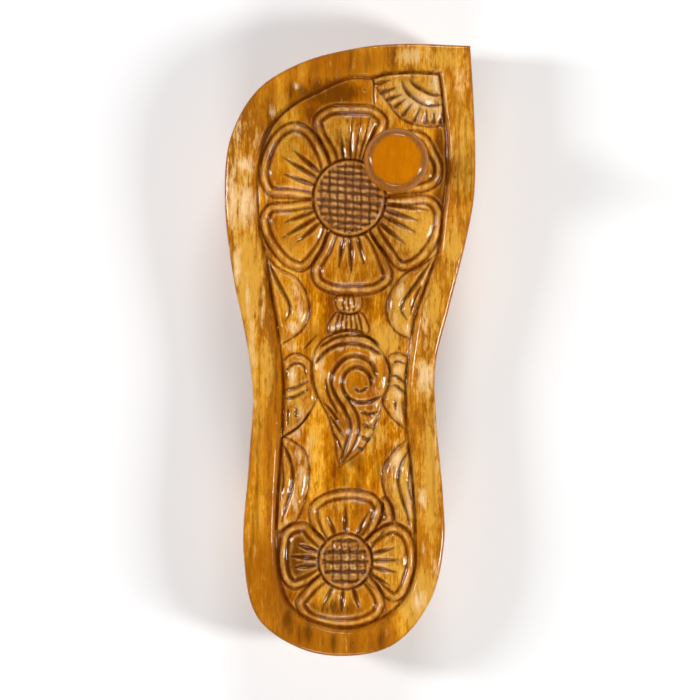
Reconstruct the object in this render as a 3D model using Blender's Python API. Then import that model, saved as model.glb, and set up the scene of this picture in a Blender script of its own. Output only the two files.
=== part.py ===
# Left-foot wooden sandal that is held by a knob between the toes.
# Metres. +Y runs from heel to toe, +X to the big-toe side, and z = 0 is the floor.
import math

import bmesh
import bpy
from mathutils import Vector

MM = 0.001

# Sole block
SOLE_LENGTH = 254.0 * MM
SOLE_WIDTH = 104.0 * MM
SOLE_HEIGHT = 38.0 * MM
EDGE_ROUND = 1.6 * MM
SIDE_DRAFT = 2.0 * MM
FLOOR_CHAMFER = 1.0 * MM
BLOCK_SPARE = 2.0 * MM

# Underside: a flat heel pad and a flat forefoot pad with an arch between them
ARCH_HEIGHT = 21.0 * MM
ARCH_BACK = -54.0 * MM
ARCH_FRONT = 22.0 * MM
ARCH_FULLNESS = 2.4
TOE_SPRING_START = 84.0 * MM
TOE_SPRING_RISE = 14.0 * MM
HEEL_SPRING_START = -108.0 * MM
HEEL_SPRING_RISE = 5.0 * MM
SPRING_PAST_END = 1.2

# Carved field: a sunk floor with a hollow wall all round
FIELD_DEPTH = 3.0 * MM
FIELD_WALL = 2.2 * MM
MOTIF_BELOW_RIM = 0.4 * MM
MOTIF_SLOPE = 0.7 * MM
MOTIF_ROOT = 1.2 * MM

# Toe knob, turned
KNOB_ACROSS = 18.7 * MM
KNOB_ALONG = 76.4 * MM
KNOB_RISE = 38.0 * MM
HEAD_RADIUS = 13.0 * MM
HEAD_TOP_RADIUS = 8.8 * MM
HEAD_THICKNESS = 8.6 * MM
NECK_RADIUS = 5.4 * MM
FOOT_RADIUS = 8.4 * MM
FOOT_THICKNESS = 2.2 * MM
TENON_RADIUS = 6.0 * MM
TENON_LENGTH = 16.0 * MM
TENON_CHAMFER = 0.8 * MM
FOOT_EASE = 0.6 * MM
COVE_RISE = 7.0 * MM
LIP_ROUND = 1.6 * MM
SHOULDER_START = 3.0 * MM
CROWN_DOME = 0.4 * MM
SEAT_RADIUS = 9.6 * MM
SEAT_BELOW_RIM = 1.0 * MM
FIT_GAP = 0.3 * MM

# Fineness of the curves
SPAN_STEPS = 4
ROUND_STEPS = 4
TURN_STEPS = 40
ARCH_STEPS = 28
SPRING_STEPS = 8

FIELD_FLOOR = SOLE_HEIGHT - FIELD_DEPTH
SEAT_HEIGHT = SOLE_HEIGHT - SEAT_BELOW_RIM

# Outlines in millimetres. Columns: across (+ to the big toe), along (+ to the toe), sharp corner or not.
SOLE_OUTLINE = (
    (49.9, 126.2, True),
    (51.2, 105.0, False),
    (52.0, 84.0, False),
    (51.5, 64.0, False),
    (48.8, 48.3, False),
    (40.9, 16.6, False),
    (35.5, -6.0, False),
    (35.6, -25.6, False),
    (38.7, -62.0, False),
    (39.1, -79.5, False),
    (33.0, -104.8, False),
    (18.0, -122.3, False),
    (-2.4, -127.0, False),
    (-21.5, -123.5, False),
    (-38.4, -111.0, False),
    (-44.1, -85.0, False),
    (-42.0, -46.7, False),
    (-40.4, -18.0, False),
    (-42.5, 0.8, False),
    (-48.8, 32.5, False),
    (-52.0, 64.2, False),
    (-49.6, 88.0, False),
    (-38.8, 107.5, False),
    (-21.9, 118.5, False),
    (3.4, 125.4, False),
    (20.3, 127.0, False),
)

FIELD_OUTLINE = (
    (37.9, 115.5, True),
    (40.0, 101.0, False),
    (41.4, 89.5, False),
    (41.6, 73.0, False),
    (39.9, 56.6, False),
    (38.3, 41.4, False),
    (34.6, 29.7, False),
    (30.1, 16.1, False),
    (27.5, 2.6, False),
    (25.7, -10.8, False),
    (25.5, -26.0, False),
    (26.3, -38.2, False),
    (27.7, -54.0, False),
    (28.5, -72.0, False),
    (28.6, -87.2, False),
    (27.0, -97.3, False),
    (23.6, -104.3, False),
    (16.4, -111.4, False),
    (5.2, -116.3, False),
    (-8.4, -116.6, False),
    (-20.0, -112.3, False),
    (-27.6, -104.7, False),
    (-31.0, -93.9, False),
    (-32.1, -77.1, False),
    (-31.2, -50.0, False),
    (-30.1, -24.8, False),
    (-30.8, -4.0, False),
    (-35.2, 25.1, False),
    (-38.6, 47.0, False),
    (-40.0, 66.0, False),
    (-38.0, 83.7, False),
    (-29.7, 98.3, False),
    (-13.6, 108.5, False),
    (3.3, 114.3, False),
    (18.2, 115.8, False),
)

# Flowers: a round centre with petals. Centre and radius in millimetres.
FLOWERS = {
    "forefoot": {"across": -0.3, "along": 63.1, "radius": 15.0},
    "heel": {"across": -2.0, "along": -87.9, "radius": 11.0},
}

PETAL_UNDER_DISC = 2.0

# Columns: flower, bearing in degrees from the big-toe side, reach, half angle at the tip in degrees
PETALS = (
    ("forefoot", 31.0, 40.0, 27.0),
    ("forefoot", 90.0, 38.4, 24.0),
    ("forefoot", 147.0, 39.0, 27.0),
    ("forefoot", 209.0, 39.0, 26.0),
    ("forefoot", 272.0, 39.6, 27.0),
    ("forefoot", 333.0, 40.5, 28.0),
    ("heel", -5.0, 29.0, 37.0),
    ("heel", 84.0, 29.5, 42.0),
    ("heel", 179.0, 27.5, 33.0),
    ("heel", 267.0, 27.5, 43.0),
)

# Petal shape. Columns: share of the way from the disc to the tip, share of the half angle
PETAL_SHAPE = (
    (0.0, 0.80),
    (0.5, 0.98),
    (0.82, 0.86),
    (1.0, 0.42),
)

# Leaves, buds, shell fan and conch in millimetres, with the outline's columns
CORNER_FAN = (
    (9.2, 115.5, True),
    (11.5, 107.5, False),
    (18.5, 99.0, False),
    (28.0, 93.8, False),
    (42.0, 93.4, True),
    (41.0, 117.0, True),
)
UPPER_LEFT_LEAF = (
    (-37.0, 37.5, True),
    (-26.5, 32.0, False),
    (-19.2, 26.0, False),
    (-17.2, 18.0, False),
    (-20.5, 8.0, False),
    (-32.5, 1.0, True),
)
UPPER_RIGHT_LEAF = (
    (37.5, 37.5, True),
    (27.2, 33.6, False),
    (19.0, 27.0, False),
    (15.4, 16.4, False),
    (19.6, 7.5, False),
    (29.0, 2.0, True),
)
LOWER_LEFT_LEAF = (
    (-31.5, -33.0, True),
    (-22.6, -38.8, False),
    (-17.2, -48.9, False),
    (-19.1, -63.0, False),
    (-23.0, -71.0, False),
    (-33.5, -74.0, True),
)
LOWER_RIGHT_LEAF = (
    (26.5, -34.5, True),
    (17.7, -42.8, False),
    (13.5, -55.4, False),
    (17.7, -65.0, False),
    (19.5, -72.5, False),
    (29.5, -76.5, True),
)
LEFT_BUD = (
    (-31.5, -7.0, False),
    (-23.5, -1.6, False),
    (-16.6, -5.2, False),
    (-15.0, -19.5, False),
    (-21.5, -31.7, False),
    (-31.5, -37.0, False),
)
RIGHT_BUD = (
    (26.8, -4.5, False),
    (19.4, -1.7, False),
    (15.8, -10.0, False),
    (14.0, -21.0, False),
    (17.3, -27.5, False),
    (26.8, -35.5, False),
)
CONCH = (
    (0.0, 8.0, False),
    (-11.9, 3.4, False),
    (-15.5, -8.0, False),
    (-12.5, -20.6, False),
    (-7.4, -34.0, False),
    (-4.6, -48.5, True),
    (5.0, -40.5, False),
    (12.0, -26.0, False),
    (16.3, -9.0, False),
    (11.8, 1.1, False),
)
FINIAL = (
    (-5.1, 23.2, True),
    (4.0, 23.2, True),
    (4.2, 16.0, True),
    (7.0, 7.0, True),
    (-8.3, 7.0, True),
    (-5.3, 16.0, True),
)
MOTIFS = (
    CORNER_FAN,
    UPPER_LEFT_LEAF,
    UPPER_RIGHT_LEAF,
    LOWER_LEFT_LEAF,
    LOWER_RIGHT_LEAF,
    LEFT_BUD,
    RIGHT_BUD,
    FINIAL,
    CONCH,
)


def clear_scene():
    for item in list(bpy.data.objects):
        bpy.data.objects.remove(item, do_unlink=True)


def wood_material(name, color, roughness):
    material = bpy.data.materials.new(name)
    material.use_nodes = True
    shader = material.node_tree.nodes["Principled BSDF"]
    shader.inputs["Base Color"].default_value = (*color, 1.0)
    shader.inputs["Roughness"].default_value = roughness
    shader.inputs["Metallic"].default_value = 0.0
    return material


def smooth_loop(outline, steps=SPAN_STEPS):
    # A closed curve through the outline's anchors, in metres, that keeps the sharp corners sharp.
    places = [Vector((across * MM, along * MM)) for across, along, _ in outline]
    sharp = [corner for _, _, corner in outline]
    count = len(places)
    points = []
    for index in range(count):
        following = (index + 1) % count
        start = places[index]
        end = places[following]
        chord = end - start
        start_slope = chord
        if not sharp[index]:
            before = start - places[index - 1]
            start_slope = (chord + before * (chord.length / before.length)) / 2.0
        end_slope = chord
        if not sharp[following]:
            after = places[(following + 1) % count] - end
            end_slope = (chord + after * (chord.length / after.length)) / 2.0
        straight = sharp[index] and sharp[following]
        for step in range(1 if straight else steps):
            t = step / steps
            points.append(
                start * (2 * t**3 - 3 * t**2 + 1)
                + start_slope * (t**3 - 2 * t**2 + t)
                + end * (3 * t**2 - 2 * t**3)
                + end_slope * (t**3 - t**2)
            )
    return points


def turns_left(points):
    area = sum(a.cross(b) for a, b in zip(points, points[1:] + points[:1]))
    return area > 0.0


def inset_loop(points, distance):
    # Moves each point inward, square to its two neighbouring edges.
    side = 1.0 if turns_left(points) else -1.0
    moved = []
    for index, point in enumerate(points):
        before = (point - points[index - 1]).normalized()
        after = (points[(index + 1) % len(points)] - point).normalized()
        inward_before = Vector((-before.y, before.x)) * side
        inward_after = Vector((-after.y, after.x)) * side
        mitre = (inward_before + inward_after) / (1.0 + inward_before.dot(inward_after))
        moved.append(point + mitre * distance)
    return moved


def stacked_solid(name, rings, material=None):
    # A closed solid from level rings, each a list of points and a height, lowest first.
    mesh = bpy.data.meshes.new(name)
    shell = bmesh.new()
    levels = []
    for points, height in rings:
        levels.append([shell.verts.new((point.x, point.y, height)) for point in points])
    for lower, upper in zip(levels, levels[1:]):
        for index in range(len(lower)):
            following = (index + 1) % len(lower)
            shell.faces.new((lower[index], lower[following], upper[following], upper[index]))
    bmesh.ops.triangulate(shell, faces=shell.faces)
    shell.faces.new(list(reversed(levels[0])))
    shell.faces.new(levels[-1])
    bmesh.ops.recalc_face_normals(shell, faces=shell.faces)
    shell.to_mesh(mesh)
    shell.free()
    solid = bpy.data.objects.new(name, mesh)
    bpy.context.scene.collection.objects.link(solid)
    if material:
        mesh.materials.append(material)
    return solid


def across_prism(name, profile, half_width):
    # A solid with a side-view profile of (along, height) points, run straight across the sole.
    mesh = bpy.data.meshes.new(name)
    shell = bmesh.new()
    near = [shell.verts.new((-half_width, along, height)) for along, height in profile]
    far = [shell.verts.new((half_width, along, height)) for along, height in profile]
    for index in range(len(profile)):
        following = (index + 1) % len(profile)
        shell.faces.new((near[index], near[following], far[following], far[index]))
    shell.faces.new(list(reversed(near)))
    shell.faces.new(far)
    bmesh.ops.recalc_face_normals(shell, faces=shell.faces)
    shell.to_mesh(mesh)
    shell.free()
    solid = bpy.data.objects.new(name, mesh)
    bpy.context.scene.collection.objects.link(solid)
    return solid


def combine(target, tool, operation):
    tool.hide_render = True
    tool.display_type = "WIRE"
    step = target.modifiers.new(tool.name, "BOOLEAN")
    step.operation = operation
    step.solver = "EXACT"
    step.object = tool


def sole_block(material):
    outline = smooth_loop(SOLE_OUTLINE)
    rings = [
        (inset_loop(outline, SIDE_DRAFT + FLOOR_CHAMFER + BLOCK_SPARE), -BLOCK_SPARE),
        (inset_loop(outline, SIDE_DRAFT), FLOOR_CHAMFER),
    ]
    for step in range(ROUND_STEPS + 1):
        turn = math.radians(90.0 * step / ROUND_STEPS)
        inset = EDGE_ROUND * (1.0 - math.cos(turn))
        height = SOLE_HEIGHT - EDGE_ROUND * (1.0 - math.sin(turn))
        rings.append((inset_loop(outline, inset) if inset else outline, height))
    return stacked_solid("sole", rings, material)


def spring_curve(start, rise, end):
    # The underside leaves the floor at the start and curves up past the end of the sole.
    reach = (end - start) * SPRING_PAST_END
    points = []
    for step in range(SPRING_STEPS + 1):
        part = step / SPRING_STEPS
        points.append((start + reach * part, rise * (SPRING_PAST_END * part) ** 2))
    return points


def arch_curve():
    middle = (ARCH_BACK + ARCH_FRONT) / 2.0
    half = (ARCH_FRONT - ARCH_BACK) / 2.0
    points = []
    for step in range(ARCH_STEPS + 1):
        turn = math.pi * step / ARCH_STEPS
        sweep = -math.cos(turn)
        along = middle + half * math.copysign(abs(sweep) ** (2.0 / ARCH_FULLNESS), sweep)
        points.append((along, ARCH_HEIGHT * math.sin(turn) ** (2.0 / ARCH_FULLNESS)))
    return points


def underside_cutter():
    # Everything below the side-view line: raised heel end, heel pad, arch, forefoot pad and toe spring.
    half = SOLE_LENGTH / 2.0
    profile = list(reversed(spring_curve(HEEL_SPRING_START, HEEL_SPRING_RISE, -half)))
    profile += arch_curve()
    profile += spring_curve(TOE_SPRING_START, TOE_SPRING_RISE, half)
    profile.append((profile[-1][0], -BLOCK_SPARE * 2.0))
    profile.append((profile[0][0], -BLOCK_SPARE * 2.0))
    return across_prism("underside_cutter", profile, SOLE_WIDTH)


def field_cutter():
    outline = smooth_loop(FIELD_OUTLINE)
    rings = []
    for step in range(ROUND_STEPS + 1):
        turn = math.radians(90.0 * step / ROUND_STEPS)
        inset = FIELD_WALL * (1.0 - math.sin(turn))
        height = FIELD_FLOOR + FIELD_DEPTH * (1.0 - math.cos(turn))
        rings.append((inset_loop(outline, inset) if inset else outline, height))
    rings.append((outline, SOLE_HEIGHT + FIELD_DEPTH))
    return stacked_solid("field_cutter", rings)


def raised_motif(name, outline, below_rim=MOTIF_BELOW_RIM):
    top = SOLE_HEIGHT - below_rim
    rings = [
        (outline, FIELD_FLOOR - MOTIF_ROOT),
        (outline, top - MOTIF_SLOPE),
        (inset_loop(outline, MOTIF_SLOPE), top),
    ]
    return stacked_solid(name, rings)


def round_loop(across, along, radius, steps=TURN_STEPS):
    points = []
    for step in range(steps):
        turn = math.tau * step / steps
        points.append(Vector((across + radius * math.cos(turn), along + radius * math.sin(turn))))
    return points


def petal_outline(flower, bearing, reach, half_angle):
    # From the flower's centre outward: one side runs to the tip, and the other comes back.
    base = flower["radius"] - PETAL_UNDER_DISC
    centre = Vector((flower["across"], flower["along"]))
    one_side = [(out, -spread) for out, spread in PETAL_SHAPE]
    other_side = [(out, spread) for out, spread in reversed(PETAL_SHAPE)]
    outline = []
    for out, spread in one_side + other_side:
        turn = math.radians(bearing + half_angle * spread)
        place = centre + Vector((math.cos(turn), math.sin(turn))) * (base + (reach - base) * out)
        outline.append((place.x, place.y, out == 0.0))
    return smooth_loop(outline)


def carve_top(sole):
    for number, (flower, bearing, reach, half_angle) in enumerate(PETALS):
        outline = petal_outline(FLOWERS[flower], bearing, reach, half_angle)
        combine(sole, raised_motif(f"petal_{number}", outline), "UNION")
    for name, flower in FLOWERS.items():
        outline = round_loop(flower["across"] * MM, flower["along"] * MM, flower["radius"] * MM)
        combine(sole, raised_motif(f"{name}_disc", outline, MOTIF_BELOW_RIM / 2.0), "UNION")
    for number, motif in enumerate(MOTIFS):
        below = MOTIF_BELOW_RIM * (1.0 + 0.1 * number)
        combine(sole, raised_motif(f"motif_{number}", smooth_loop(motif), below), "UNION")


def knob_seat(sole):
    boss = round_loop(KNOB_ACROSS, KNOB_ALONG, SEAT_RADIUS)
    above = stacked_solid("seat_clearance", [(boss, SEAT_HEIGHT), (boss, SOLE_HEIGHT + FIELD_DEPTH)])
    under = round_loop(KNOB_ACROSS, KNOB_ALONG, SEAT_RADIUS - FIT_GAP)
    pad = stacked_solid("seat_pad", [(under, FIELD_FLOOR - MOTIF_ROOT), (under, SEAT_HEIGHT)])
    bore = round_loop(KNOB_ACROSS, KNOB_ALONG, TENON_RADIUS + FIT_GAP)
    depth = SEAT_HEIGHT - TENON_LENGTH - FIT_GAP
    socket = stacked_solid("socket", [(bore, depth), (bore, SOLE_HEIGHT + FIELD_DEPTH)])
    combine(sole, above, "DIFFERENCE")
    combine(sole, pad, "UNION")
    combine(sole, socket, "DIFFERENCE")


def make_sole():
    sole = sole_block(wood_material("carved_wood", (0.58, 0.26, 0.03), 0.25))
    combine(sole, underside_cutter(), "DIFFERENCE")
    combine(sole, field_cutter(), "DIFFERENCE")
    carve_top(sole)
    knob_seat(sole)
    return sole


def knob_profile():
    # Radius and height pairs from the foot of the tenon to the crown of the head.
    base = SEAT_HEIGHT + FIT_GAP
    crown = SOLE_HEIGHT + KNOB_RISE
    head_base = crown - HEAD_THICKNESS
    foot_top = base + FOOT_THICKNESS
    eased_foot = FOOT_RADIUS - FOOT_EASE
    neck_high = head_base - COVE_RISE
    profile = [
        (TENON_RADIUS - TENON_CHAMFER, SEAT_HEIGHT - TENON_LENGTH),
        (TENON_RADIUS, SEAT_HEIGHT - TENON_LENGTH + TENON_CHAMFER),
        (TENON_RADIUS, base),
        (eased_foot, base),
        (FOOT_RADIUS, base + FOOT_EASE),
        (FOOT_RADIUS, foot_top - FOOT_EASE),
        (eased_foot, foot_top),
    ]
    for step in range(1, ROUND_STEPS + 1):
        turn = math.radians(90.0 * step / ROUND_STEPS)
        radius = NECK_RADIUS + (eased_foot - NECK_RADIUS) * (1.0 - math.sin(turn))
        profile.append((radius, foot_top + COVE_RISE * (1.0 - math.cos(turn))))
    profile.append((NECK_RADIUS, (foot_top + COVE_RISE + neck_high) / 2.0))
    under_radius = HEAD_RADIUS - LIP_ROUND
    for step in range(ROUND_STEPS * 2 + 1):
        turn = math.radians(90.0 * step / (ROUND_STEPS * 2))
        radius = NECK_RADIUS + (under_radius - NECK_RADIUS) * (1.0 - math.cos(turn))
        profile.append((radius, neck_high + COVE_RISE * math.sin(turn)))
    for step in range(1, ROUND_STEPS + 1):
        turn = math.radians(90.0 * step / ROUND_STEPS)
        height = head_base + LIP_ROUND * (1.0 - math.cos(turn))
        profile.append((under_radius + LIP_ROUND * math.sin(turn), height))
    shoulder = HEAD_RADIUS - HEAD_TOP_RADIUS
    shoulder_low = head_base + SHOULDER_START
    rise = crown - CROWN_DOME - shoulder_low
    for step in range(ROUND_STEPS * 2 + 1):
        turn = math.radians(90.0 * step / (ROUND_STEPS * 2))
        radius = HEAD_TOP_RADIUS + shoulder * math.cos(turn)
        profile.append((radius, shoulder_low + rise * math.sin(turn)))
    profile.append((HEAD_TOP_RADIUS * 0.6, crown - CROWN_DOME * 0.25))
    profile.append((HEAD_TOP_RADIUS * 0.2, crown))
    return profile


def make_toe_knob():
    rings = []
    for radius, height in knob_profile():
        rings.append((round_loop(KNOB_ACROSS, KNOB_ALONG, radius), height))
    knob = stacked_solid("toe_knob", rings, wood_material("turned_wood", (0.60, 0.22, 0.01), 0.2))
    knob.data.shade_smooth()
    knob.data.set_sharp_from_angle(angle=math.radians(40.0))
    return knob


clear_scene()
make_sole()
make_toe_knob()
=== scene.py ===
import math

import bmesh
import bpy
import numpy as np
from mathutils import Matrix, Vector
from mathutils.geometry import delaunay_2d_cdt


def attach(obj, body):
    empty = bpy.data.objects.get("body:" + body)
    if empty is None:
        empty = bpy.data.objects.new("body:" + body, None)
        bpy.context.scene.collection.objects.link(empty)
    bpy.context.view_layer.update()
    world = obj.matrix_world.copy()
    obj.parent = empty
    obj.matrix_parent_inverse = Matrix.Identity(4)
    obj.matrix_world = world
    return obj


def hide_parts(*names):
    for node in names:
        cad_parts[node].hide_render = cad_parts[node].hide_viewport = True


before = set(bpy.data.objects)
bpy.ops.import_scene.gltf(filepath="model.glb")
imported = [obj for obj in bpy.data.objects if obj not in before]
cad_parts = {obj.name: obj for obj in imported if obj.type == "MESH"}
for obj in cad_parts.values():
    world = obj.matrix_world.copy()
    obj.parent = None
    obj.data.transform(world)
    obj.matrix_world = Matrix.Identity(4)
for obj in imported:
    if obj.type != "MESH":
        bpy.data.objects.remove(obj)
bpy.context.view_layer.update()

# All carving sizes are in millimetres. Across is + to the big toe, along is + to the toe, and height is from
# the floor.
mm = 0.001

sole = {
    "height": 38.0, "edgeRound": 1.6, "sideDraft": 2.0, "floorChamfer": 1.0,
    "archHeight": 21.0, "archBack": -54.0, "archFront": 22.0, "archFullness": 2.4,
    "toeSpringStart": 84.0, "toeSpringRise": 14.0, "heelSpringStart": -108.0, "heelSpringRise": 5.0,
    "outlineSpacing": 1.2, "halfLength": 127.0,
    "outline": (
        (49.9, 126.2, "sharp"), (51.2, 105.0), (52.0, 84.0), (51.5, 64.0), (48.8, 48.3), (40.9, 16.6),
        (35.5, -6.0), (35.6, -25.6), (38.7, -62.0), (39.1, -79.5), (33.0, -104.8), (18.0, -122.3),
        (-2.4, -127.0), (-21.5, -123.5), (-38.4, -111.0), (-44.1, -85.0), (-42.0, -46.7), (-40.4, -18.0),
        (-42.5, 0.8), (-48.8, 32.5), (-52.0, 64.2), (-49.6, 88.0), (-38.8, 107.5), (-21.9, 118.5),
        (3.4, 125.4), (20.3, 127.0),
    ),
}


sheet = {"step": 0.25, "margin": 4.0, "farAway": 9.0, "formReach": 16.0}


def smoothPath(anchors, closed=False, spacing=0.9):
    # A curve through the anchors. An anchor with a third entry keeps a sharp corner.
    places = [np.array(anchor[:2], float) for anchor in anchors]
    sharp = [len(anchor) > 2 for anchor in anchors]
    count = len(places)
    points = []
    for index in range(count if closed else count - 1):
        following = (index + 1) % count
        start, end = places[index], places[following]
        chord = end - start
        length = math.hypot(*chord)
        startSlope = endSlope = chord
        if not sharp[index] and (closed or index > 0):
            before = start - places[index - 1]
            startSlope = (chord + before * (length / math.hypot(*before))) / 2
        if not sharp[following] and (closed or following < count - 1):
            after = places[(following + 1) % count] - end
            endSlope = (chord + after * (length / math.hypot(*after))) / 2
        steps = max(1, round(length / spacing))
        for step in range(steps):
            t = step / steps
            points.append(start * (2 * t**3 - 3 * t**2 + 1) + startSlope * (t**3 - 2 * t**2 + t)
                          + end * (3 * t**2 - 2 * t**3) + endSlope * (t**3 - t**2))
    if not closed:
        points.append(places[-1])
    return np.array(points)


def insetPath(path, distance, easeOver=12.0, sharpFacing=0.8):
    # Moves each point of a closed path inward, square to its two edges. Beside a sharp corner
    # the points also slide along their edge.
    following = np.roll(path, -1, 0)
    side = 1.0 if np.sum(path[:, 0] * following[:, 1] - path[:, 1] * following[:, 0]) > 0 else -1.0
    run = following - path
    run /= np.linalg.norm(run, axis=1)[:, None]
    inward = np.stack([-run[:, 1], run[:, 0]], 1) * side
    before = np.roll(inward, 1, 0)
    facing = np.sum(inward * before, 1)
    mitre = (inward + before) / (1.0 + facing)[:, None]
    moved = path + mitre * distance
    for corner in np.flatnonzero(facing < sharpFacing):
        for direction in (1, -1):
            index, travelled = corner, 0.0
            while travelled < easeOver:
                neighbour = (index + direction) % len(path)
                step = path[neighbour] - path[index]
                length = math.hypot(*step)
                travelled += length
                slide = distance * (mitre[corner] @ step) / length * max(0.0, 1.0 - travelled / easeOver)
                moved[neighbour] += step / length * slide
                index = neighbour
    return moved


soleOutline = smoothPath(sole["outline"], closed=True, spacing=sole["outlineSpacing"])

# The relief is worked out on a level sheet of small squares, as heights from the rim.
lowCorner = soleOutline.min(0) - sheet["margin"]
sheetSize = np.ceil((soleOutline.max(0) + sheet["margin"] - lowCorner) / sheet["step"]).astype(int)
sheetAcross, sheetAlong = np.meshgrid(lowCorner[0] + sheet["step"] * np.arange(sheetSize[0]),
                                      lowCorner[1] + sheet["step"] * np.arange(sheetSize[1]))
relief = np.zeros(sheetAcross.shape)
motifShare = np.zeros(sheetAcross.shape)  # 0 on rim and ground, 1 on a raised form
lineGap = np.full(sheetAcross.shape, sheet["farAway"])  # distance to the nearest cut or edge
cutShadeAndStain = np.zeros(sheetAcross.shape)  # 1 at the bottom of a cut, darkened there by old varnish and by painted shade
linePoints = []


def patchAround(path, margin):
    low = np.clip(((path.min(0) - margin - lowCorner) / sheet["step"]).astype(int), 0, sheetSize)
    high = np.clip(((path.max(0) + margin - lowCorner) / sheet["step"]).astype(int) + 1, 0, sheetSize)
    return slice(low[1], high[1]), slice(low[0], high[0])


def distanceTo(path, closed=False, reach=4.0):
    # Distance to the path over the patch around it, up to the reach, less than nothing on its right,
    # and the share of its length at the nearest point.
    patch = patchAround(path, reach)
    top, left = patch[0].start, patch[1].start
    starts = path if closed else path[:-1]
    ends = np.roll(path, -1, 0) if closed else path[1:]
    lengths = np.maximum(np.linalg.norm(ends - starts, axis=1), 1e-9)
    travelled = np.concatenate([[0.0], np.cumsum(lengths)])
    nearest = np.full(sheetAcross[patch].shape, reach)
    share = np.zeros(nearest.shape)
    side = np.ones(nearest.shape)
    for index, (start, end) in enumerate(zip(starts, ends)):
        near = patchAround(np.array([start, end]), reach)
        here = (slice(near[0].start - top, near[0].stop - top),
                slice(near[1].start - left, near[1].stop - left))
        across, along = sheetAcross[near] - start[0], sheetAlong[near] - start[1]
        run = (end - start) / lengths[index]
        forward = np.clip(across * run[0] + along * run[1], 0.0, lengths[index])
        gap = np.hypot(across - forward * run[0], along - forward * run[1])
        closer = gap < nearest[here]
        nearest[here][closer] = gap[closer]
        share[here][closer] = ((travelled[index] + forward) / travelled[-1])[closer]
        side[here][closer] = np.where(along * run[0] < across * run[1], -1.0, 1.0)[closer]
    return patch, nearest * side, share


def insideOf(path, patch):
    # Even-odd test. Each edge of the path is tested only on the rows that it crosses.
    inside = np.zeros(sheetAcross[patch].shape, bool)
    across = sheetAcross[patch][0]
    rows = sheetAlong[patch][:, 0]
    for start, end in zip(path, np.roll(path, -1, 0)):
        low, high = sorted((start[1], end[1]))
        first, last = np.searchsorted(rows, (low, high), side="right")
        if first < last:
            edge = start[0] + (rows[first:last] - start[1]) * (end[0] - start[0]) / (end[1] - start[1])
            inside[first:last] ^= across[None, :] < edge[:, None]
    return inside


def depthInside(path, reach):
    # How far inside a closed path each place lies, up to the reach. It is negative outside.
    patch, gap, _ = distanceTo(path, closed=True, reach=reach)
    return patch, np.where(insideOf(path, patch), np.abs(gap), -np.abs(gap))


def noteLine(path, patch, gap):
    lineGap[patch] = np.minimum(lineGap[patch], gap)
    linePoints.append(path)


def soften(values, radius):
    # Gaussian blur of the whole sheet, by its spectrum.
    waves = [np.fft.fftfreq(values.shape[0]), np.fft.rfftfreq(values.shape[1])]
    spread = 2 * (math.pi * radius / sheet["step"]) ** 2
    keep = np.exp(-spread * (waves[0][:, None] ** 2 + waves[1][None, :] ** 2))
    return np.fft.irfft2(np.fft.rfft2(values) * keep, values.shape)


def unevenness(seed, radius):
    # Smooth random hills of about unit height, the same on each run.
    bumps = soften(np.random.default_rng(seed).standard_normal(sheetAcross.shape), radius)
    return bumps / bumps.std()


def hills(kinds, level=0.0):
    # The sum of several kinds of unevenness, each given as seed, radius and height.
    return sum((height * unevenness(seed, radius) for seed, radius, height in kinds), level)


# distance inside the edge, height: how each kind of raised form rises out of the ground
profiles = {
    "petal": ((-1.2, -2.4), (-0.55, -2.75), (0.0, -3.0), (0.5, -1.7), (1.1, -0.65), (1.7, -0.3), (2.2, -0.5),
              (2.8, -1.2), (3.4, -1.75), (3.85, -1.45), (4.6, -0.85), (5.4, -0.7), (7.5, -0.85),
              (12.0, -1.1)),
    "leaf": ((-1.0, -2.4), (-0.45, -2.6), (0.0, -2.95), (0.5, -1.7), (1.3, -0.9), (2.6, -0.45), (5.0, -0.4),
             (9.0, -0.7)),
    "fan": ((-1.0, -2.4), (-0.45, -2.65), (0.0, -2.95), (0.45, -1.6), (1.0, -0.9), (2.2, -0.6), (12.0, -0.5)),
    "conch": ((-1.0, -2.4), (-0.4, -2.65), (0.0, -3.0), (0.5, -1.9), (1.4, -1.1), (3.0, -0.55), (6.0, -0.15),
              (14.0, 0.1)),
    "disc": ((-0.9, -2.2), (-0.4, -2.6), (0.0, -2.7), (0.5, -1.5), (1.4, -0.8), (4.0, -0.3), (10.0, 0.15),
             (15.0, 0.25)),
    "bead": ((-0.7, -2.4), (0.0, -2.9), (0.4, -1.9), (1.0, -1.2), (2.0, -0.75), (4.0, -0.6)),
}


def raiseForm(outline, profile):
    # Raises a closed form out of the ground and cuts its edge free.
    path = smoothPath(outline, closed=True)
    patch, inside = depthInside(path, sheet["formReach"])
    distances, heights = np.array(profiles[profile]).T
    surface = np.interp(inside, distances, heights)
    beside = np.where(inside < distances[0], 0.0, surface)
    relief[patch] = np.where(inside >= 0, surface, np.minimum(relief[patch], beside))
    motifShare[patch] = np.where(inside >= 0, 1.0, motifShare[patch])
    cutShadeAndStain[patch] *= inside < 0
    noteLine(path, patch, np.abs(inside))
    return patch, inside


knife = {
    "swellPower": 0.8, "thinnest": 0.25, "tiny": 1e-6,
    "broadFrom": 3.0, "narrowInk": 0.8, "broadInk": 1.7,
}


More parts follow.
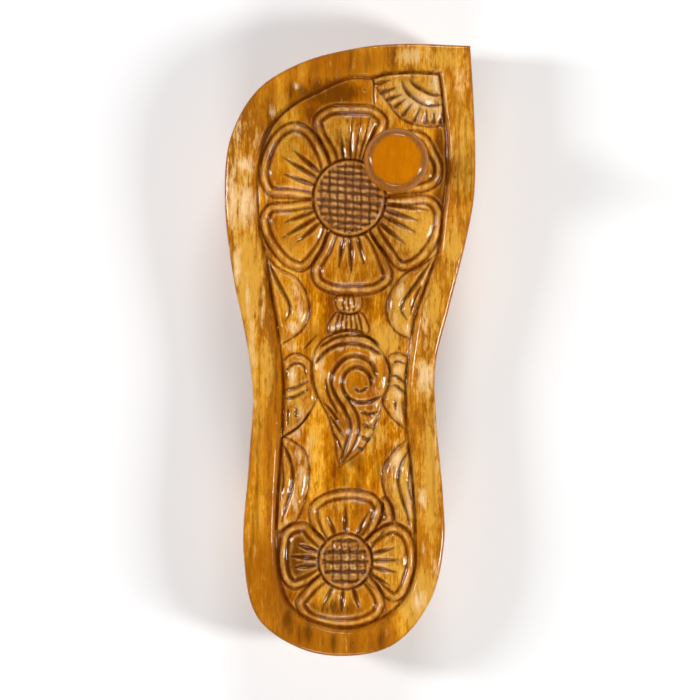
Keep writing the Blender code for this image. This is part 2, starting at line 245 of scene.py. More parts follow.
def carveLine(anchors, width, depth, taper=0.2, lean=0.0, hollow=False, within=None):
    # A cut that narrows and runs out at its ends: a V from a knife, or a hollow from a gouge.
    # A lean of 1 would put its bottom under its left edge, and -1 under its right edge.
    path = smoothPath(anchors)
    patch, gap, share = distanceTo(path, reach=width)
    ends = np.clip(np.minimum(share, 1.0 - share) / taper, 0.0, 1.0)
    swell = np.sin(ends * math.pi / 2) ** knife["swellPower"]
    across = gap / (width / 2 * (knife["thinnest"] + (1.0 - knife["thinnest"]) * swell))
    fall = np.where(across > lean, (1.0 - across) / (1.0 - lean), (1.0 + across) / (1.0 + lean))
    fall = np.clip(fall, 0.0, 1.0)
    cut = swell * (fall * (2.0 - fall) if hollow else fall)
    if within is not None:
        cut = cut * within[patch]
    relief[patch] -= depth * cut
    # A broad cut is dark only along its bottom.
    spread = knife["narrowInk"] if width < knife["broadFrom"] else knife["broadInk"]
    cutShadeAndStain[patch] = np.maximum(cutShadeAndStain[patch], cut**spread)
    noteLine(path, patch, np.abs(gap))


field = {
    # top edge of the sunk field
    "outline": (
        (37.9, 115.5, "sharp"), (39.0, 108.8), (40.0, 101.0), (40.7, 94.2), (41.4, 89.5), (41.7, 76.8),
        (41.6, 70.1), (40.7, 63.4), (39.9, 56.6), (39.3, 49.9), (38.3, 41.4), (36.9, 36.4), (34.6, 29.7),
        (32.9, 24.0), (30.1, 16.1), (28.5, 9.3), (27.5, 2.6), (26.5, -4.2), (25.7, -10.8), (25.4, -21.4),
        (25.6, -31.4), (26.3, -38.2), (27.5, -51.7), (28.3, -66.0), (28.6, -80.5), (28.6, -87.2),
        (27.0, -97.3), (23.6, -104.3), (16.4, -111.4), (5.2, -116.3), (-1.3, -117.3), (-8.4, -116.6),
        (-20.0, -112.3), (-27.6, -104.7), (-31.0, -93.9), (-32.1, -77.1), (-31.7, -59.9), (-30.9, -44.9),
        (-30.1, -24.8), (-30.0, -14.5), (-30.8, -4.0), (-32.8, 9.8), (-35.2, 25.1), (-36.8, 38.5),
        (-38.9, 48.3), (-40.0, 62.0), (-39.9, 72.6), (-38.0, 83.7), (-34.8, 92.0), (-29.7, 98.3),
        (-23.0, 103.7), (-13.6, 108.5), (-3.5, 113.1), (3.3, 114.3), (9.4, 114.0), (14.2, 115.3),
        (26.6, 116.2),
    ),
    # share of the wall's width in from the top edge, height
    "wall": ((-0.5, 0.0), (-0.2, -0.05), (0.0, -0.2), (0.25, -0.85), (0.8, -2.5), (1.0, -3.1), (1.2, -2.8),
             (1.7, -2.4)),
    # along, width of the wall
    "widths": ((-117.0, 2.1), (-104.0, 1.6), (-75.0, 1.5), (-50.0, 2.0), (-20.0, 2.4), (12.0, 2.5),
               (30.0, 2.1), (48.0, 1.5), (90.0, 1.5), (104.0, 1.3), (116.0, 1.1)),
    "reach": 6.0, "foot": -3.1,
    "freed": 3.2,  # how steeply a form rises from the foot of the wall
}


fieldOutline = smoothPath(field["outline"], closed=True)


def wallWidthAt(along):
    places, widths = np.array(field["widths"]).T
    return np.interp(along, places, widths)


cornerFan = {
    "outline": ((9.2, 114.6, "sharp"), (10.2, 110.6), (12.6, 106.8), (15.6, 103.1), (18.3, 99.2),
                (20.9, 96.4), (24.2, 94.6), (28.3, 93.4), (33.3, 92.9), (42.5, 93.3, "sharp"),
                (42.0, 118.0, "sharp"), (20.0, 118.0, "sharp"), (9.2, 116.5, "sharp")),
    # notches: place on the edge, then the inner tip
    "notches": (((10.6, 110.0), (17.5, 112.1)), ((12.5, 106.4), (19.5, 108.9)), ((15.0, 103.6),
                                                                                 (21.9, 106.0)),
                ((18.0, 100.2), (23.5, 104.4)), ((21.4, 96.6), (25.9, 102.3)), ((26.7, 94.0), (29.3, 101.0)),
                ((31.2, 93.4), (31.8, 100.3)), ((34.7, 93.2), (34.7, 98.8)), ((37.7, 93.2), (38.0, 98.8))),
    "notchWidth": 3.7, "notchDepth": 1.5, "notchTaper": 0.7,
    "mouth": 0.16, "mouthRound": 0.5, "notchInk": 0.5,
    # path, width, depth, lean
    "gouges": (
        (((21.2, 111.8), (23.5, 107.7), (26.9, 104.7), (30.6, 102.5), (33.6, 101.9),
          (39.0, 101.7)), 3.4, 1.5, -0.5),
        (((24.2, 112.8), (26.9, 110.1), (31.0, 107.7), (34.3, 106.2), (38.4, 105.6)), 3.0, 1.4, -0.5),
    ),
}


def carveWedge(edge, tip, width, depth):
    # A notch that is broad near the edge of a form and runs out to a point.
    path = smoothPath((edge, tip))
    patch, gap, share = distanceTo(path, reach=width)
    opening = np.clip(1.0 - share, 0.0, 1.0) ** cornerFan["notchTaper"]
    opening *= np.clip(share / cornerFan["mouth"], 0.0, 1.0) ** cornerFan["mouthRound"]
    cut = opening * np.clip(1.0 - np.abs(gap) / np.maximum(width / 2 * opening, knife["tiny"]), 0.0, 1.0)
    relief[patch] -= depth * cut
    cutShadeAndStain[patch] = np.maximum(cutShadeAndStain[patch], cut ** cornerFan["notchInk"])
    noteLine(path, patch, np.abs(gap))


def carveField():
    # Sinks the field and returns how far in from its edge each place lies, in widths of its wall.
    patch, inside = depthInside(fieldOutline, field["reach"])
    width = wallWidthAt(sheetAlong[patch])
    distances, heights = np.array(field["wall"]).T
    relief[patch] = np.interp(inside / width, distances, heights)
    noteLine(fieldOutline, patch, np.abs(inside))
    towards = insetPath(fieldOutline, 1.0) - fieldOutline
    foot = fieldOutline + towards * wallWidthAt(fieldOutline[:, 1])[:, None]
    noteLine(foot, patch, np.abs(inside - width))
    depth = np.full(relief.shape, -sheet["farAway"])
    depth[patch] = inside / width
    return depth


def ray(flower, bearing, reach):
    turn = math.radians(bearing)
    return flower["across"] + reach * math.cos(turn), flower["along"] + reach * math.sin(turn)


forefootFlower = {
    "across": -0.3, "along": 63.1, "discRadius": 14.8, "discStretch": 1.06,
    "rowTilt": 5.0, "rows": (-13.1, -10.4, -7.6, -4.6, -1.7, 1.9, 4.9, 7.7, 10.4, 13.0),
    "columns": (-11.6, -8.2, -4.8, -1.6, 1.6, 4.9, 8.4, 11.8), "rowDepth": 1.2, "columnDepth": 0.7,
    "cutWidth": 2.7, "cutDepth": 1.05, "cutStart": 16.2,
    # outline of each petal, then its cuts as bearing in degrees, reach and a share for a finer cut
    "petals": (
        (((-6.5, 74.0), (-9.4, 81.5), (-13.6, 89.0), (-14.6, 96.0), (-9.0, 100.6), (0.3, 101.5),
          (10.4, 100.4), (15.2, 95.5), (11.8, 86.0), (5.5, 74.0)),
         ((97.5, 27.5, 0.8), (88.0, 33.5, 0.6), (81.5, 34.2, 0.55), (75.5, 34.5, 0.55), (70.0, 33.0, 0.6))),
        (((-8.5, 75.0), (-12.4, 86.2), (-17.0, 92.0), (-23.8, 94.1), (-30.7, 90.2), (-36.2, 80.2),
          (-36.9, 69.4), (-33.5, 64.4), (-25.1, 63.4), (-11.0, 62.8)),
         ((139.5, 30.6), (148.5, 32.4), (160.0, 29.4))),
        (((-11.0, 61.2), (-26.1, 61.0), (-33.8, 60.0), (-36.9, 55.6), (-36.3, 49.0), (-32.3, 41.2),
          (-26.1, 34.8), (-20.0, 33.0), (-15.4, 36.0), (-7.5, 52.0)),
         ((201.0, 29.2), (211.0, 32.4), (220.5, 29.0))),
        (((-6.5, 51.0), (-11.8, 41.0), (-15.5, 34.1), (-14.6, 27.8), (-8.2, 24.0), (1.3, 23.3), (12.0, 24.6),
          (17.2, 29.6), (15.6, 36.6), (7.5, 51.0)),
         ((261.5, 29.6), (271.5, 31.4), (282.5, 28.3))),
        (((10.0, 61.8), (24.0, 63.6), (33.6, 63.4), (37.9, 58.4), (38.2, 50.7), (35.1, 43.0), (29.7, 36.4),
          (24.3, 33.5), (19.4, 34.2), (15.6, 39.0), (8.0, 52.0)),
         ((-9.0, 33.4), (-18.5, 30.4), (-27.5, 31.2), (-39.5, 30.2))),
        (((9.0, 75.0), (18.0, 86.0), (26.0, 91.0), (31.7, 89.0), (35.1, 83.3), (38.2, 75.5), (36.4, 69.1),
          (30.9, 65.9), (22.4, 65.2), (10.5, 64.4)),
         ((14.0, 30.0), (26.0, 32.0), (38.0, 30.0), (48.0, 28.0))),
    ),
}


heelFlower = {
    "across": -2.0, "along": -87.7, "discRadius": 10.9, "discStretch": 1.04,
    "rowTilt": 0.0, "rows": (8.6, 3.9, -0.2, -4.3, -8.3),
    "columns": (-8.4, -5.1, -1.7, 1.6, 4.9, 8.2), "rowDepth": 1.4, "columnDepth": 0.6,
    "cutWidth": 2.6, "cutDepth": 1.05, "cutStart": 12.0,
    "petals": (
        (((8.0, -79.0), (11.5, -63.5), (14.4, -61.4), (16.8, -65.0), (17.6, -70.5), (14.4, -74.4),
          (9.0, -80.0)), ()),
        (((-10.0, -82.0), (-16.2, -71.5), (-16.4, -65.0), (-12.4, -61.0), (-7.1, -58.9), (-1.3, -58.1),
          (5.5, -58.8), (10.4, -60.6), (13.0, -64.6), (11.4, -72.0), (6.0, -80.0)),
         ((111.0, 20.4), (89.5, 22.6), (65.0, 23.0))),
        (((-9.0, -82.0), (-14.8, -75.4), (-17.8, -72.2), (-23.0, -72.3), (-27.0, -74.6), (-29.2, -81.5),
          (-29.2, -90.3), (-27.5, -95.9), (-23.8, -98.9), (-20.3, -98.3), (-9.0, -91.0)),
         ((160.5, 21.2), (174.5, 22.6), (187.0, 21.4))),
        (((6.0, -80.5), (13.6, -73.6), (18.5, -72.4), (23.6, -75.2), (26.5, -81.1), (27.0, -88.1),
          (25.3, -95.5), (22.0, -102.3), (18.3, -104.2), (14.4, -102.4), (5.0, -92.0)),
         ((15.5, 21.4), (1.5, 22.6), (-12.0, 21.4), (-28.0, 20.5))),
        (((-9.0, -92.0), (-18.8, -99.8), (-22.2, -105.4), (-19.2, -110.9), (-12.1, -114.2), (-2.5, -115.2),
          (7.6, -113.3), (13.0, -109.0), (14.0, -104.4), (5.0, -92.0)),
         ((244.0, 20.2), (265.5, 21.6), (286.5, 20.4))),
    ),
}


petal = {
    "dishFrom": 4.0, "dishOver": 4.0, "dishReach": 14.0, "dishDepth": 0.55,
    "cutsFrom": 1.0, "cutsOver": 1.5, "cutsBack": 3.5, "cutTaper": 0.5,
    "grooveAt": 3.4, "grooveWidth": 0.62, "grooveInk": 0.95,
}


def carveFlower(flower):
    for outline, cuts in flower["petals"]:
        patch, inside = raiseForm(outline, "petal")
        fromCentre = np.hypot(sheetAcross[patch] - flower["across"], sheetAlong[patch] - flower["along"])
        dish = np.clip((inside - petal["dishFrom"]) / petal["dishOver"], 0.0, 1.0)
        hollow = np.clip(1.0 - (fromCentre - flower["discRadius"]) / petal["dishReach"], 0.0, 1.0)
        relief[patch] -= petal["dishDepth"] * dish * hollow
        within = np.zeros(relief.shape)
        within[patch] = np.clip((inside - petal["cutsFrom"]) / petal["cutsOver"], 0.0, 1.0)
        for bearing, reach, *finer in cuts:
            share = finer[0] if finer else 1.0
            start = flower["cutStart"] - petal["cutsBack"]
            anchors = (ray(flower, bearing, start), ray(flower, bearing, reach))
            carveLine(anchors, flower["cutWidth"] * share, flower["cutDepth"] * share,
                      taper=petal["cutTaper"], hollow=True, within=within)
        groove = np.exp(-(((inside - petal["grooveAt"]) / petal["grooveWidth"]) ** 2))
        cutShadeAndStain[patch] = np.maximum(cutShadeAndStain[patch], petal["grooveInk"] * groove)
    carveDisc(flower)


lattice = {
    "ringPoints": 16, "rim": 0.9, "fade": 0.8, "rowHalf": 1.15, "columnHalf": 0.85,
    "wander": 0.14, "wanderPace": 0.9, "lift": 0.16, "ripple": 0.12, "ripplePace": 1.1,
    "seed": 11, "mostSquares": 16,
}


def carveDisc(flower):
    radius, stretch = flower["discRadius"], flower["discStretch"]
    ring = [(flower["across"] + radius * math.cos(turn), flower["along"] + radius * stretch * math.sin(turn))
            for turn in np.linspace(0, math.tau, lattice["ringPoints"], endpoint=False)]
    patch, inside = raiseForm(ring, "disc")
    tilt = math.radians(flower["rowTilt"])
    across = sheetAcross[patch] - flower["across"]
    along = sheetAlong[patch] - flower["along"] + across * math.tan(tilt)
    fade = np.clip((inside - lattice["rim"]) / lattice["fade"], 0.0, 1.0)
    cells = []
    rows = (flower["rows"], along, lattice["rowHalf"], flower["rowDepth"])
    columns = (flower["columns"], across, lattice["columnHalf"], flower["columnDepth"])
    for places, position, width, depth in (rows, columns):
        wander = lattice["wander"] * np.sin((across + along) * lattice["wanderPace"])
        places = np.sort(places)
        gap = np.min([np.abs(position + wander - place) for place in places], axis=0)
        cut = np.clip(1.0 - gap / width, 0.0, 1.0)
        relief[patch] -= fade * depth * cut
        cutShadeAndStain[patch] = np.maximum(cutShadeAndStain[patch], fade * cut * min(1.0, depth))
        cells.append(np.searchsorted(places, position + wander))
    # Each little square is cut by hand, at its own height and slope.
    row, column = cells
    most, pace = lattice["mostSquares"], lattice["ripplePace"]
    chance = np.random.default_rng(lattice["seed"]).uniform(-1.0, 1.0, (3, most, most))
    lift, slopeAlong, slopeAcross = chance[:, row, column]
    ripple = np.sin(along * pace) * slopeAlong + np.sin(across * pace) * slopeAcross
    relief[patch] += fade * (lattice["lift"] * lift + lattice["ripple"] * ripple)


def carveFan():
    raiseForm(cornerFan["outline"], "fan")
    for edge, tip in cornerFan["notches"]:
        carveWedge(edge, tip, cornerFan["notchWidth"], cornerFan["notchDepth"])
    for anchors, width, depth, lean in cornerFan["gouges"]:
        carveLine(anchors, width, depth, taper=0.35, lean=lean)


finial = {
    "barrel": ((-5.2, 22.6), (-5.9, 19.4), (-4.4, 16.0), (3.6, 16.0), (5.1, 19.4), (4.1, 22.6)),
    "skirt": ((-5.7, 15.4), (-8.9, 7.2), (7.5, 7.2), (4.7, 15.4)),
    "barrelFlutes": (-2.9, -0.5, 1.9), "skirtFlutes": (-5.6, -3.5, -1.5, 0.5, 2.5, 4.4),
    # lowest and highest along of the flutes, and how far their feet spread
    "barrelFluting": (15.8, 22.8, 0.8), "skirtFluting": (6.6, 15.6, 1.15),
    "headSpread": 0.75, "middle": -0.5, "fluteWidth": 1.6, "fluteDepth": 0.85,
}


def carveFinial():
    middle = finial["middle"]
    for part in ("skirt", "barrel"):
        low, high, spread = finial[part + "Fluting"]
        raiseForm(finial[part], "bead")
        for across in finial[part + "Flutes"]:
            foot = middle + (across - middle) * spread
            head = middle + (across - middle) * finial["headSpread"]
            anchors = ((foot, low), (across, (low + high) / 2), (head, high))
            carveLine(anchors, finial["fluteWidth"], finial["fluteDepth"], taper=0.15)


# outline, then gouges as path, width, depth, lean
leaves = {
    "upper left leaf": (
        ((-36.0, 40.0, "sharp"), (-29.6, 34.0), (-22.6, 30.2), (-19.1, 25.4), (-17.2, 19.2), (-17.6, 13.2),
         (-20.7, 7.6), (-27.5, 3.0), (-34.5, -1.0, "sharp"), (-39.0, 25.0, "sharp")),
        ((((-34.8, 38.3), (-32.2, 32.6), (-29.8, 27.7), (-27.4, 23.2), (-25.6, 19.6), (-25.0, 16.4),
           (-27.0, 11.6)),
          2.7, 1.4, 0.25),
         (((-34.6, 33.0), (-33.0, 22.0), (-31.2, 13.0), (-29.2, 5.0)), 1.8, 0.7, 0.0)),
    ),
    "upper right leaf": (
        ((36.5, 40.0, "sharp"), (29.0, 34.6), (22.6, 31.4), (18.9, 27.0), (16.2, 22.2), (15.3, 16.4),
         (16.6, 11.2), (19.6, 7.3), (24.4, 4.9), (30.0, 3.0, "sharp"), (38.0, 25.0, "sharp")),
        ((((33.6, 36.6), (28.8, 29.4), (24.6, 23.6), (22.0, 19.4), (21.6, 16.0),
           (23.8, 12.2)), 2.6, 1.35, -0.25),
         (((29.6, 26.6), (26.6, 20.5), (25.2, 14.5)), 2.0, 0.55, 0.0)),
    ),
    "lower left leaf": (
        ((-31.0, -34.4, "sharp"), (-24.6, -37.4), (-19.0, -41.8), (-17.1, -48.9), (-17.6, -56.0),
         (-19.1, -63.0), (-21.9, -70.1), (-27.0, -74.5), (-34.0, -76.0, "sharp"), (-33.0, -52.0, "sharp")),
        ((((-28.6, -37.8), (-25.2, -44.6), (-23.9, -51.4), (-24.6, -58.4), (-26.9, -65.4),
           (-28.2, -71.6)), 2.6, 1.3, 0.25),
         (((-27.9, -46.0), (-27.6, -55.0), (-28.9, -63.0)), 1.8, 0.55, 0.0)),
    ),
    "lower right leaf": (
        ((27.0, -35.6, "sharp"), (20.6, -39.6), (15.6, -45.8), (13.5, -53.4), (14.9, -60.4), (17.7, -65.6),
         (19.4, -72.1), (24.0, -75.6), (31.0, -77.0, "sharp"), (29.0, -52.0, "sharp")),
        ((((25.6, -39.6), (21.6, -46.8), (20.1, -53.4), (21.4, -60.6), (23.6, -67.4),
           (24.6, -72.4)), 2.5, 1.25, -0.25),
         (((24.8, -48.0), (24.2, -56.0), (25.6, -63.0)), 1.8, 0.5, 0.0)),
    ),
    "left bud": (
        ((-29.8, -9.0, "sharp"), (-27.0, -4.0), (-23.5, -1.6), (-19.2, -2.4), (-15.7, -5.8), (-14.8, -13.5),
         (-14.0, -19.6), (-16.5, -25.2), (-21.5, -31.7), (-30.5, -37.0, "sharp"), (-32.5, -22.0, "sharp")),
        ((((-26.2, -13.0), (-26.0, -8.2), (-22.8, -5.6), (-19.4, -6.4), (-18.2, -11.0)), 2.0, 0.9, 0.0),
         (((-27.9, -16.8), (-22.4, -15.8), (-17.0, -12.6)), 2.6, 1.15, 0.3),
         (((-27.9, -20.4), (-22.4, -19.4), (-17.2, -16.2)), 2.4, 1.1, 0.3),
         (((-22.2, -23.4), (-22.6, -28.4)), 2.2, 0.9, 0.0),
         (((-25.6, -24.0), (-25.8, -31.5)), 1.6, 0.5, 0.0)),
    ),
    "right bud": (
        ((26.5, -6.0, "sharp"), (21.6, -1.8), (17.2, -1.8), (15.0, -4.6), (16.6, -14.0), (13.4, -20.6),
         (16.3, -26.7), (20.4, -30.8), (26.5, -35.5, "sharp"), (27.5, -18.0, "sharp")),
        ((((17.4, -6.2), (20.0, -4.6), (23.2, -6.0)), 2.0, 0.9, 0.0),
         (((17.0, -10.4), (20.2, -11.8), (23.6, -14.4)), 2.5, 1.15, 0.3),
         (((17.0, -14.4), (20.2, -15.8), (23.6, -18.8)), 2.4, 1.1, 0.3),
         (((18.6, -20.6), (19.0, -25.0)), 2.0, 0.8, 0.0),
         (((21.8, -20.5), (22.2, -28.0)), 1.5, 0.45, 0.0)),
    ),
}


conch = {
    "outline": ((-0.5, 7.8), (-6.6, 6.6), (-11.9, 3.4), (-15.0, -2.0), (-15.7, -7.5), (-15.0, -14.0),
                (-12.5, -20.6), (-8.4, -29.2), (-6.4, -36.8), (-5.1, -45.0), (-4.2, -48.4, "sharp"),
                (5.2, -40.9), (8.8, -35.3), (11.8, -26.7), (13.4, -20.6), (15.8, -14.0), (16.3, -9.0),
                (14.8, -3.4), (11.8, 1.1), (6.6, 6.1)),
    # path, width, depth, share of the length over which each end tapers, lean
    "grooves": (
        (((-12.4, 1.2), (-5.6, 5.1), (2.0, 6.1), (9.1, 4.4), (12.6, 1.4)), 2.0, 0.9, 0.10, 0.3),
        (((-14.3, -5.6), (-9.4, -0.4), (-4.1, 2.1), (1.0, 2.6), (7.0, 1.2),
          (13.4, -2.2)), 2.7, 1.35, 0.08, 0.3),
        (((10.9, -12.0), (10.3, -8.2), (8.8, -5.5), (5.5, -3.2), (1.7, -2.4), (-1.8, -3.3), (-4.8, -5.9),
          (-7.4, -9.9), (-7.9, -14.6), (-5.7, -19.6), (-2.2, -25.2), (-0.1, -31.4), (-1.4, -38.2),
          (-4.2, -46.4)), 2.8, 1.4, 0.05, 0.3),
        (((8.7, -15.4), (8.6, -11.4), (6.4, -8.5), (2.1, -7.0), (-1.9, -9.6), (-3.4, -14.0), (-2.0, -18.3),
          (1.7, -21.4), (7.8, -21.6), (13.4, -19.2)), 2.6, 1.35, 0.08, 0.3),
        (((-2.2, -18.2), (0.6, -22.6), (3.1, -27.2), (3.7, -33.0), (2.0, -39.3),
          (-3.4, -47.0)), 2.2, 1.1, 0.08, 0.0),
        (((1.4, -15.4), (4.0, -17.2), (7.6, -15.4)), 1.8, 0.9, 0.2, 0.0),
        (((-10.2, -12.0), (-8.8, -19.0), (-5.0, -26.5)), 2.4, 0.8, 0.35, 0.0),
        (((-11.0, -21.8), (-8.0, -25.0), (-4.2, -31.0)), 2.4, 0.9, 0.35, 0.0),
        (((-8.2, -27.5), (-5.6, -31.5), (-2.6, -36.0)), 2.2, 0.9, 0.35, 0.0),
        (((-6.6, -34.5), (-4.8, -38.0), (-3.2, -42.0)), 1.8, 0.7, 0.35, 0.0),
        (((4.2, -25.6), (8.6, -27.0), (11.6, -25.4)), 3.0, 1.3, 0.3, 0.4),
        (((4.8, -30.6), (8.2, -32.4), (10.4, -31.0)), 3.0, 1.3, 0.3, 0.4),
        (((4.6, -35.6), (7.0, -37.4), (8.6, -36.0)), 2.7, 1.2, 0.3, 0.4),
        (((3.2, -40.0), (4.8, -41.4), (5.8, -40.6)), 2.0, 0.9, 0.3, 0.4),
    ),
}


groundMarks = {
    # path, width, depth, share of the length over which each end tapers
    "cuts": (
        (((9.9, 115.0), (9.9, 106.5), (10.2, 101.5)), 1.2, 0.7, 0.15),
        (((-14.0, 6.0), (-19.5, 0.0)), 1.6, 0.4, 0.4),
        (((-16.4, -25.6), (-21.8, -32.4), (-29.8, -37.6)), 1.2, 0.7, 0.1),
    ),
    "pit": (6.1, 108.0, 0.8, 0.7),  # across, along, radius, depth
}


def carveAll():
    fieldIn = carveField()
    wall = relief.copy()
    print("field sunk")
    for outline, gouges in leaves.values():
        raiseForm(outline, "leaf")
        for anchors, width, depth, lean in gouges:
            carveLine(anchors, width, depth, taper=0.3, lean=lean)
    for anchors, width, depth, taper in groundMarks["cuts"]:
        carveLine(anchors, width, depth, taper)
    carveFan()
    carveFinial()
    carveFlower(forefootFlower)
    carveFlower(heelFlower)
    raiseForm(conch["outline"], "conch")
    for anchors, width, depth, taper, lean in conch["grooves"]:
        carveLine(anchors, width, depth, taper, lean)
    # Forms end at the foot of the field's wall.
    freed = np.minimum(relief, field["foot"] + (fieldIn - 1.0) * field["freed"])
    relief[:] = np.where(fieldIn < 1.0, wall, freed)
    motifShare[fieldIn < 1.0] = 0.0
    cutShadeAndStain[fieldIn < 1.0] = 0.0
    print("flowers, leaves, fan and conch carved")
    return fieldIn


fieldDepth = carveAll()

pitAcross, pitAlong, pitRadius, pitDepth = groundMarks["pit"]
fromPit = np.hypot(sheetAcross - pitAcross, sheetAlong - pitAlong)
relief -= pitDepth * np.clip(1.0 - fromPit / pitRadius, 0.0, 1.0)

# seed, radius and height of each kind of unevenness
toolMarks = {
    "carved": ((3, 2.2, 0.05), (4, 0.8, 0.026)), "plain": ((5, 5.0, 0.05), (6, 1.2, 0.012)), "easing": 0.11,
}

# Knife and rasp leave the surface slightly uneven, and varnish eases the edges.
inField = np.clip(fieldDepth, 0.0, 1.0)
relief += inField * hills(toolMarks["carved"])
relief += (1.0 - inField) * hills(toolMarks["plain"])
relief = soften(relief, toolMarks["easing"])

knob = {
    "across": 18.7, "along": 76.4, "rise": 38.0, "headRadius": 13.0, "topRadius": 8.8, "headThickness": 8.6,
    "neckRadius": 5.4, "footRadius": 8.4, "footThickness": 2.2, "tenonRadius": 6.0, "tenonLength": 16.0,
    "seatRadius": 9.6, "seatBelowRim": 1.0, "seatSpare": 0.4, "seatSlope": 0.6, "gap": 0.3,
    "tenonBevel": 0.8, "coveRise": 7.0, "headEase": 1.6, "shoulderRise": 3.0, "crownRise": 0.4,
    "turns": 112, "latheMark": 0.03, "markPace": 5.1, "shoulderShadeRadius": 11.2, "shoulderShadeWidth": 1.8,
    "sharpAngle": 50.0,
}


# The knob stands on a small flat spot.
fromKnob = np.hypot(sheetAcross - knob["across"], sheetAlong - knob["along"])
seat = np.clip((knob["seatRadius"] + knob["seatSpare"] - fromKnob) / knob["seatSlope"], 0.0, 1.0)
relief = relief * (1.0 - seat) - knob["seatBelowRim"] * seat

# Painted shade and highlight from the carved relief: darker in hollows, at the bottom of cuts and beside
# them, partly old varnish that has settled and darkened there, and lighter on crests, partly where varnish is
# rubbed away.
varnish = {
    "fineRadius": 0.45, "broadRadius": 1.0, "inkBlur": 0.12,
    "least": 0.6, "patchy": ((7, 5.0, 0.35), (8, 1.2, 0.35)), "shadeBesideWidth": 1.15, "lineWidth": 0.4,
    "stainShadowFrom": 0.05, "stainShadowOver": 0.36, "inkStainShadow": 0.7, "inkPower": 2.5, "lineStainShadow": 0.95,
    "shadeFrom": 0.035, "shadeOver": 0.48, "shadeBesideShare": 0.42, "edgeReach": 6.0, "edgeWidth": 1.0,
    "rubHighlightFrom": 0.01, "rubHighlightOver": 0.11,
}

fineHollow = soften(relief, varnish["fineRadius"]) - relief
broadHollow = soften(relief, varnish["broadRadius"]) - relief
cutShadeAndStain = soften(cutShadeAndStain * (1.0 - seat), varnish["inkBlur"])
# The darkening in and beside the cuts, old varnish and painted shade, is heavier in some places.
patchy = hills(varnish["patchy"], 0.5)
darkeningAmount = varnish["least"] + (1.0 - varnish["least"]) * np.clip(patchy, 0.0, 1.0)
darkeningAmount *= inField * (1.0 - seat)
# Painted shade: a broad darkening beside each cut and edge, and a thin dark line along it.
shadeBesideCuts = np.exp(-((lineGap / varnish["shadeBesideWidth"]) ** 2)) * darkeningAmount
knifeLine = np.exp(-((lineGap / varnish["lineWidth"]) ** 2)) * darkeningAmount
# The darkest colour: old varnish settled in the cuts, and painted shadow in the narrow hollows and along each
# line.
stainAndShadow = np.clip((fineHollow - varnish["stainShadowFrom"]) / varnish["stainShadowOver"], 0.0, 1.0)
stainAndShadow = np.maximum(stainAndShadow, varnish["inkStainShadow"] * cutShadeAndStain ** varnish["inkPower"])
stainAndShadow = np.maximum(stainAndShadow, varnish["lineStainShadow"] * knifeLine)
# Painted shade in the broader hollows, beside the cuts and at their bottoms.
shade = np.clip((broadHollow - varnish["shadeFrom"]) / varnish["shadeOver"], 0.0, 1.0)
shade = np.maximum(np.maximum(shade, varnish["shadeBesideShare"] * shadeBesideCuts), cutShadeAndStain)
solePatch, soleDepth = depthInside(soleOutline, varnish["edgeReach"])
outerEdge = np.zeros(relief.shape)
outerEdge[solePatch] = np.exp(-((np.maximum(soleDepth, 0.0) / varnish["edgeWidth"]) ** 2))
# Painted highlight on the crests, partly varnish rubbed thin.
rubAndHighlight = np.clip((-fineHollow - varnish["rubHighlightFrom"]) / varnish["rubHighlightOver"], 0.0, 1.0) * inField


def readSheet(values, points):
    # Value of the sheet at each point, between its four nearest squares.
    place = (points - lowCorner) / sheet["step"]
    low = np.clip(np.floor(place).astype(int), 0, sheetSize - 2)
    part = place - low
    column, row = low.T
    across, along = part.T
    return ((values[row, column] * (1 - across) + values[row, column + 1] * across) * (1 - along)
            + (values[row + 1, column] * (1 - across) + values[row + 1, column + 1] * across) * along)


meshing = {"fine": 0.44, "plainEvery": 2, "lineSpacing": 0.5, "lineCell": 0.6, "lineClear": 0.2, "busy": 0.02,
           "bendRadius": 0.4, "widerRadii": (0.8, 1.6, 3.0), "widerGain": 1.6,
           "ringReach": 3.0, "ringClear": 0.5, "boreClear": 0.6, "boreSteps": 64}


def topPoints(innerRing):
    # Points for the top face: close together in the carving, far apart on the plain rim, and along each cut.
    bend = np.abs(soften(relief, meshing["bendRadius"]) - relief)
    ringPatch, ringDepth = depthInside(innerRing, meshing["ringReach"])
    inner = np.full(relief.shape, -meshing["ringReach"])
    inner[ringPatch] = ringDepth
    spread = [bend]
    for radius in meshing["widerRadii"]:
        spread.append(soften(bend, radius) * meshing["widerGain"])
    busy = np.max(spread, axis=0)
    fine = meshing["fine"]
    counts = np.floor((soleOutline.max(0) - lowCorner) / fine).astype(int)
    column, row = np.meshgrid(np.arange(counts[0]), np.arange(counts[1]))
    points = np.stack([(lowCorner[0] + column * fine).ravel(), (lowCorner[1] + row * fine).ravel()], 1)
    busyHere = readSheet(busy, points)
    column, row = column.ravel(), row.ravel()
    plain = (column % meshing["plainEvery"] == 0) & (row % meshing["plainEvery"] == 0)
    keep = plain | (busyHere > meshing["busy"])
    keep &= readSheet(lineGap, points) > meshing["lineClear"]
    lines = np.concatenate([resample(path, meshing["lineSpacing"]) for path in linePoints])
    cells = np.round(lines / (meshing["lineSpacing"] * meshing["lineCell"])).astype(int)
    lines = lines[np.unique(cells, axis=0, return_index=True)[1]]
    points = np.concatenate([points[keep], lines])
    clear = readSheet(inner, points) > meshing["ringClear"]
    fromBore = np.hypot(points[:, 0] - knob["across"], points[:, 1] - knob["along"])
    clear &= fromBore > knob["tenonRadius"] + meshing["boreClear"]
    return points[clear]


def resample(path, spacing):
    lengths = np.linalg.norm(np.diff(path, axis=0), axis=1)
    travelled = np.concatenate([[0.0], np.cumsum(lengths)])
    places = np.arange(0.0, travelled[-1], spacing)
    return np.stack([np.interp(places, travelled, path[:, 0]), np.interp(places, travelled, path[:, 1])], 1)


def addObject(name, mesh):
    piece = bpy.data.objects.new(name, mesh)
    bpy.context.scene.collection.objects.link(piece)
    return piece


